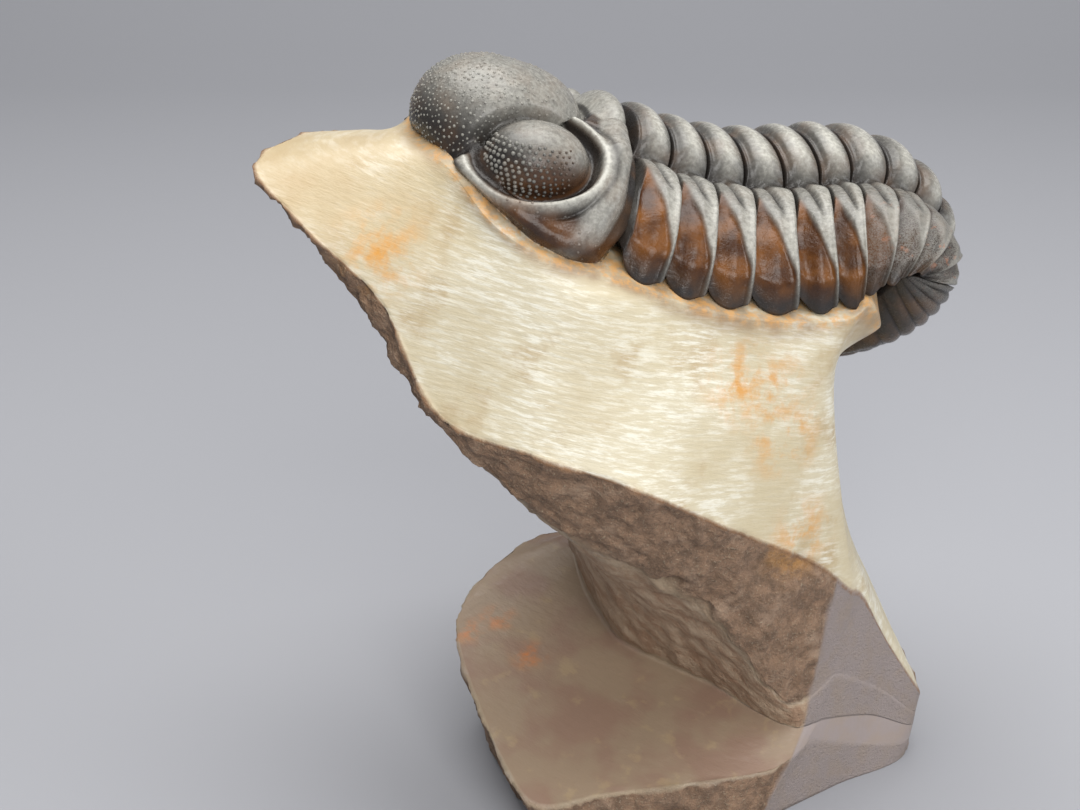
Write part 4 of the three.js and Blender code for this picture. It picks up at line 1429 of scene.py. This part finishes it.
    def contact_point(self, spoke: Spoke) -> Array:
        """Point of the contact line just outside the animal's margin.

        Args:
            spoke: The kind of place ("at", "head" or "tip") and its numbers.

        Returns:
            The point.
        """
        kind, values = spoke
        if kind == "at":
            return np.array(values, float)
        if kind == "head":
            x, b, n = values
            out = 1 + self.margin_out / math.hypot(x + 1, b)
            return self.plan.place(0, x * out, b * out, n - self.margin_down)
        s, side = values
        width, depth = (float(v) for v in self.plan.size(s))
        lean = float(between(self.plan.tip_leans, s))
        return self.plan.place(s, -lean, side * (width + self.margin_out), -depth - self.margin_down)

    def middle_point(self, spoke: Spoke) -> Array:
        """Point of the animal's middle line that a spoke draws in to.

        Args:
            spoke: The kind of place and its numbers.

        Returns:
            The point.
        """
        kind, values = spoke
        if kind == "head":
            return self.plan.place(0, max(values[0], self.under_head), 0, 0)
        return self.plan.place(values[0] if kind == "tip" else self.under_thorax, 0, 0, 0)

    def round_line(self, points: list | tuple) -> Array:
        """Closed line through points, read at every step round the block."""
        return spline_through(np.array(points, float), True, np.arange(self.round_steps) / self.round_steps)

    def rows(self) -> tuple[Array, Array]:
        """Rings of points from the roof under the animal down to the underside.

        Returns:
            Points, shape (rows, round_steps, 3), and each row's number of feature lines passed, from -1 at
            the roof through 0 at the contact line and RIM at the rim to 6 at the underside.
        """
        contact = self.round_line([self.contact_point(s) for s in self.contact])
        middle = self.round_line([self.middle_point(s) for s in self.contact])
        names = [name for name, _ in self.band_rows]
        lines = {name: self.round_line(getattr(self, name)) for name in names + ["neck", "dish"]}
        rings, level = [], []
        for share, up in ((self.roof_share, self.roof_rise), (self.seat_inward, self.seat_up)):
            rings.append(contact + (middle - contact) * share * np.array([1, 1, 0]) + np.array([0, 0, up]))
            level.append(-1.0)
        t = np.arange(self.hollow_rows) / self.hollow_rows
        rings.extend(spline_through(np.stack([contact, lines["neck"], lines["dish"], lines["rim"]]), False, t))
        level.extend(t)
        for k, (name, count) in enumerate(self.band_rows):
            after = lines[names[min(k + 1, len(names) - 1)]]
            for row in range(count):
                rings.append(lines[name] + (after - lines[name]) * row / count)
                level.append(RIM + k + row / count)
        return np.stack(rings), np.array(level)

    def zones(self, level: Array, spoke: Array) -> dict[Zone, Array]:
        """Shares of each kind of stone.

        Args:
            level: Feature lines passed by each row.
            spoke: Place of each step round the block, counted in spokes.

        Returns:
            The shares, each of shape (rows, steps).
        """
        level, spoke = np.broadcast_arrays(level[:, None], spoke[None, :])
        below_rim = smoothstep(level, RIM - 0.015, RIM)
        below_lip = smoothstep(level, LIP, LIP + 0.5)
        below_corner = smoothstep(level, CORNER - 0.1, CORNER)
        below_plate = smoothstep(level, PLATE - 0.03, PLATE + 0.03)
        sawn = below_rim * (1 - smoothstep(spoke, self.sawn_spokes - 0.12, self.sawn_spokes + 0.05))
        sawn_behind = smoothstep(spoke, *self.sawn_behind) * smoothstep(level, RIM, RIM + 0.05)
        return {
            Zone.GROUND: level < RIM,
            Zone.BROKEN: np.maximum(below_rim * (1 - below_lip), below_plate),
            Zone.UNDERCUT: below_lip * (1 - below_corner),
            Zone.PLATE: below_corner * (1 - below_plate),
            Zone.SAWN: np.maximum(sawn, 0.6 * sawn_behind),
        }

    def roughened(self, rings: Array, zones: dict[Zone, Array]) -> Array:
        """Rings moved out of true where the stone is broken, with the pit in its broken side.

        Args:
            rings: Smooth rings of points.
            zones: Shares of each kind of stone at the points.

        Returns:
            The moved rings.
        """
        along = np.gradient(rings, axis=0)
        ahead = (np.roll(rings, -1, 1) - np.roll(rings, 1, 1)) / 2
        way = np.cross(ahead, along)
        way /= np.maximum(np.linalg.norm(way, axis=-1, keepdims=True), 1e-9)
        outside = rings - rings.mean((0, 1))
        hollow = slice(5, 90)
        if np.einsum("ijk,ijk->", way[hollow], outside[hollow]) < 0:
            way = -way
        flat = rings.reshape(-1, 3)
        layers = [fractal(flat, *kind).reshape(rings.shape[:2]) for kind in self.bumps]
        cut = np.where(zones[Zone.GROUND], 1, 1 - zones[Zone.SAWN])
        shift = np.zeros(rings.shape[:2])
        for zone, heights in self.unevenness:
            shift += sum(height * layer for height, layer in zip(heights, layers)) * zones[zone] * cut
        away = np.linalg.norm((rings - np.array(self.pit)) / np.array(self.pit_size), axis=-1)
        shift -= self.pit_depth * (1 - smoothstep(away, 0.3, 1.0))
        shift[-1] = 0
        return rings + way * shift[..., None]

    def cutters(self) -> list[bpy.types.Object]:
        """Grown copies of the body and the head.

        Returns:
            The objects that press their bed into the stone.
        """
        end = self.plan.thorax_end + self.plan.tail_length * 0.97
        s = np.append(np.arange(-self.bed_step, end, self.bed_step), end)
        shares = shares_across(self.bed_columns)
        flat = np.zeros((len(s), len(shares)))
        rings = self.plan.surface(s, shares, flat, np.full(len(s), self.bed_drop), self.bed_gap)
        caps = (self.plan.inside(-self.bed_step), self.plan.place(end, 0.6, 0, -2))
        body = closed_mesh("bed_body", rings, caps)
        points, _, faces = self.head.shape(self.bed_net, self.bed_gap)
        head = mesh_of("bed_head", points, faces.tolist())
        made = [bpy.data.objects.new(mesh.name, mesh) for mesh in (body, head)]
        for obj in made:
            bpy.context.scene.collection.objects.link(obj)
        return made

    def cut_bed(self, obj: bpy.types.Object) -> bpy.types.Mesh:
        """Cuts the animal's bed into the block.

        Args:
            obj: The block.

        Returns:
            Its new mesh.
        """
        cutters = self.cutters()
        for cutter in cutters:
            modifier = obj.modifiers.new("bed", "BOOLEAN")
            modifier.object = cutter
            modifier.operation = "DIFFERENCE"
            modifier.solver = "MANIFOLD"
        mesh = settle(obj)
        for cutter in cutters:
            bpy.data.objects.remove(cutter)
        return mesh

    def build(self, finish: bpy.types.Material) -> bpy.types.Object:
        """Object of the block, cut to the animal's bed and dressed.

        Args:
            finish: Material of the stone.

        Returns:
            The finished object.
        """
        rings, level = self.rows()
        zones = self.zones(level, np.arange(self.round_steps) / self.round_steps * len(self.contact))
        shaped = self.roughened(rings, zones)
        obj = show(closed_mesh(self.name, shaped, (rings[0].mean(0), np.zeros(3))), finish)
        mesh = self.cut_bed(obj)
        mesh.materials.clear()
        mesh.materials.append(finish)
        mesh.polygons.foreach_set("material_index", np.zeros(len(mesh.polygons), int))
        mesh.polygons.foreach_set("use_smooth", np.ones(len(mesh.polygons), bool))
        strips = {
            Edge.SEAM: 1 - smoothstep(level, 0.0, 0.11),
            Edge.BRINK: bell(level, RIM, 0.012),
            Edge.BESIDE: 1 - smoothstep(level, 0.03, 0.26),
        }
        round_block = np.ones(self.round_steps)
        self.carry(mesh, shaped, {**zones, **{edge: np.outer(v, round_block) for edge, v in strips.items()}})
        return obj

    def carry(self, mesh: bpy.types.Mesh, shaped: Array, layers: dict[Enum, Array]) -> None:
        """Stores the shares of stone on the cut mesh, each point from the nearest point before the cut.

        Args:
            mesh: The cut mesh.
            shaped: Rings of points before the cut.
            layers: Shares at those points.
        """
        flat = shaped.reshape(-1, 3) * MM
        tree = KDTree(len(flat))
        for i, p in enumerate(flat):
            tree.insert(p, i)
        tree.balance()
        nearest = np.array([tree.find(v.co)[1] for v in mesh.vertices])
        for layer, values in layers.items():
            store(mesh, layer.value, np.ravel(values)[nearest])


@dataclass
class Animal:
    """The whole animal: head shield, eleven thorax segments and tail shield."""

    plan: BodyPlan = field(default_factory=BodyPlan)
    granule_radius: float = 0.108
    granule_spacing: float = 0.33
    granule_density: float = 14.0
    # Pale share of the lenses, partly painted highlight.
    lens_pale_and_highlight: float = 0.58
    first_seed: int = 3

    def build(self, finish: bpy.types.Material) -> list[bpy.types.Object]:
        """Objects of the animal's pieces, studded and dressed.

        Args:
            finish: Material of the shell.

        Returns:
            The pieces from head to tail.
        """
        beads = BeadTree()
        pieces = [self.with_lenses(Cephalon(self.plan), finish)]
        pieces += [show(ThoraxSegment(self.plan, i).build(), finish) for i in range(self.plan.segments)]
        pieces.append(show(Pygidium(self.plan).build(), finish))
        for seed, piece in enumerate(pieces, self.first_seed):
            beads.apply(piece, {
                "Spacing": self.granule_spacing * MM, "Density": self.granule_density / MM**2,
                "Granule Radius": self.granule_radius * MM, "Seed": seed, "Finish": finish,
            })
            LOG.info("%s: %d faces", piece.name, len(piece.data.polygons))
        return pieces

    def with_lenses(self, head: Cephalon, finish: bpy.types.Material) -> bpy.types.Object:
        """Head shield with a loose point for each lens, which the tree turns into a bead.

        Args:
            head: The head shield.
            finish: Material of the shell.

        Returns:
            Its object.
        """
        mesh = head.build()
        spots, facings, radii, fade = head.lens_seats()
        start = len(mesh.vertices)
        mesh.vertices.add(len(spots))
        count = len(mesh.vertices)

        def fill(target: bpy.types.bpy_prop_collection, name: str, width: int, added: Array) -> None:
            """Keeps the numbers of the head's own points and sets those of the loose ones."""
            numbers = np.zeros((count, width), np.float32)
            target.foreach_get(name, numbers.ravel())
            numbers[start:] = added
            target.foreach_set(name, numbers.ravel())

        fill(mesh.vertices, "co", 3, spots * MM)
        # Sets the lenses' pale share, which is partly painted highlight.
        fill(mesh.attributes[Tint.WORN.value].data, "value", 1, (self.lens_pale_and_highlight * fade)[:, None])
        radius = mesh.attributes.new(LENS_RADIUS, "FLOAT", "POINT")
        fill(radius.data, "value", 1, (radii * MM)[:, None])
        facing = mesh.attributes.new(LENS_FACING, "FLOAT_VECTOR", "POINT")
        fill(facing.data, "vector", 3, facings)
        return show(mesh, finish)


@dataclass
class Studio:
    """Camera at the photograph's viewing angle, soft light and a plain pale floor that runs up behind."""

    target: Point = (-12.5, 0.0, 31.0)
    elevation: float = 22.0
    distance: float = 200.0
    lens: float = 80.0
    sensor: float = 36.0
    clip: tuple[float, float] = (0.01, 20.0)
    floor_size: float = 900.0
    sweep: float = 150.0
    sweep_steps: int = 12
    wall_top: float = 600.0
    lamps: tuple[tuple[str, Point, float, float, Point], ...] = (
        ("soft_box", (-20, 40, 330), 1.4, 300, (1.0, 0.99, 0.97)),
        ("front_fill", (50, -340, 210), 1.2, 240, (1.0, 0.99, 0.97)),
        ("side_fill", (260, -60, 120), 0.3, 180, (0.97, 0.98, 1.0)),
    )
    sky: Point = (0.62, 0.64, 0.70)
    sky_strength: float = 0.25

    def hang(self, data: bpy.types.ID, place: Vector, away: Vector) -> bpy.types.Object:
        """Puts the camera or a lamp in the scene.

        Args:
            data: The camera or lamp.
            place: Where it hangs, in millimetres.
            away: Way from what it faces.

        Returns:
            Its object.
        """
        obj = bpy.data.objects.new(data.name, data)
        bpy.context.scene.collection.objects.link(obj)
        obj.location = place * MM
        obj.rotation_euler = away.to_track_quat("Z", "Y").to_euler()
        return obj

    def camera(self) -> None:
        """Makes the camera."""
        data = bpy.data.cameras.new("camera")
        data.lens = self.lens
        data.sensor_width = self.sensor
        data.sensor_fit = "HORIZONTAL"
        data.clip_start, data.clip_end = self.clip
        tilt = math.radians(self.elevation)
        back = Vector((0, -math.cos(tilt), math.sin(tilt)))
        bpy.context.scene.camera = self.hang(data, Vector(self.target) + back * self.distance, back)

    def lights(self) -> None:
        """Makes the lamps, aimed at the target."""
        for name, place, power, size, colour in self.lamps:
            data = bpy.data.lights.new(name, "AREA")
            data.energy, data.size, data.color = power, size * MM, colour
            self.hang(data, Vector(place), Vector(place) - Vector(self.target))

    def surroundings(self) -> None:
        """Makes the even light from all round."""
        world = bpy.data.worlds.new("studio")
        world.use_nodes = True
        background = world.node_tree.nodes["Background"].inputs
        background[0].default_value = (*self.sky, 1)
        background[1].default_value = self.sky_strength
        bpy.context.scene.world = world
        bpy.context.scene.view_settings.view_transform = "Standard"

    def floor(self) -> None:
        """Makes the floor and the sweep behind it."""
        half = self.floor_size / 2
        bend = half / 2
        profile = [(-half, 0.0), (bend, 0.0)]
        for step in range(1, self.sweep_steps + 1):
            turn = step / self.sweep_steps * math.pi / 2
            profile.append((bend + self.sweep * math.sin(turn), self.sweep * (1 - math.cos(turn))))
        profile.append((profile[-1][0], self.wall_top))
        points = np.array([(x, y, z) for y, z in profile for x in (-half, half)])
        faces = [(2 * i, 2 * i + 1, 2 * i + 3, 2 * i + 2) for i in range(len(profile) - 1)]
        show(mesh_of("floor", points, faces), PaperFinish().make())

    def build(self) -> None:
        """Sets up the whole studio."""
        self.camera()
        self.floor()
        self.lights()
        self.surroundings()


def main() -> None:
    """Builds the studio, the animal and the block in order, and ties each piece to its solid."""
    logging.basicConfig(level=logging.INFO, format="%(message)s")
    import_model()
    Studio().build()
    animal = Animal()
    pieces = animal.build(ShellFinish().make())
    block = StoneBlock(animal.plan, Cephalon(animal.plan)).build(StoneFinish().make())
    LOG.info("%s: %d faces", block.name, len(block.data.polygons))
    for piece in pieces:
        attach(piece, "root")
        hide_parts(piece.name.removesuffix(SHELL))
    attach(block, "root")
    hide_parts("matrix")


if __name__ == "__main__":
    main()
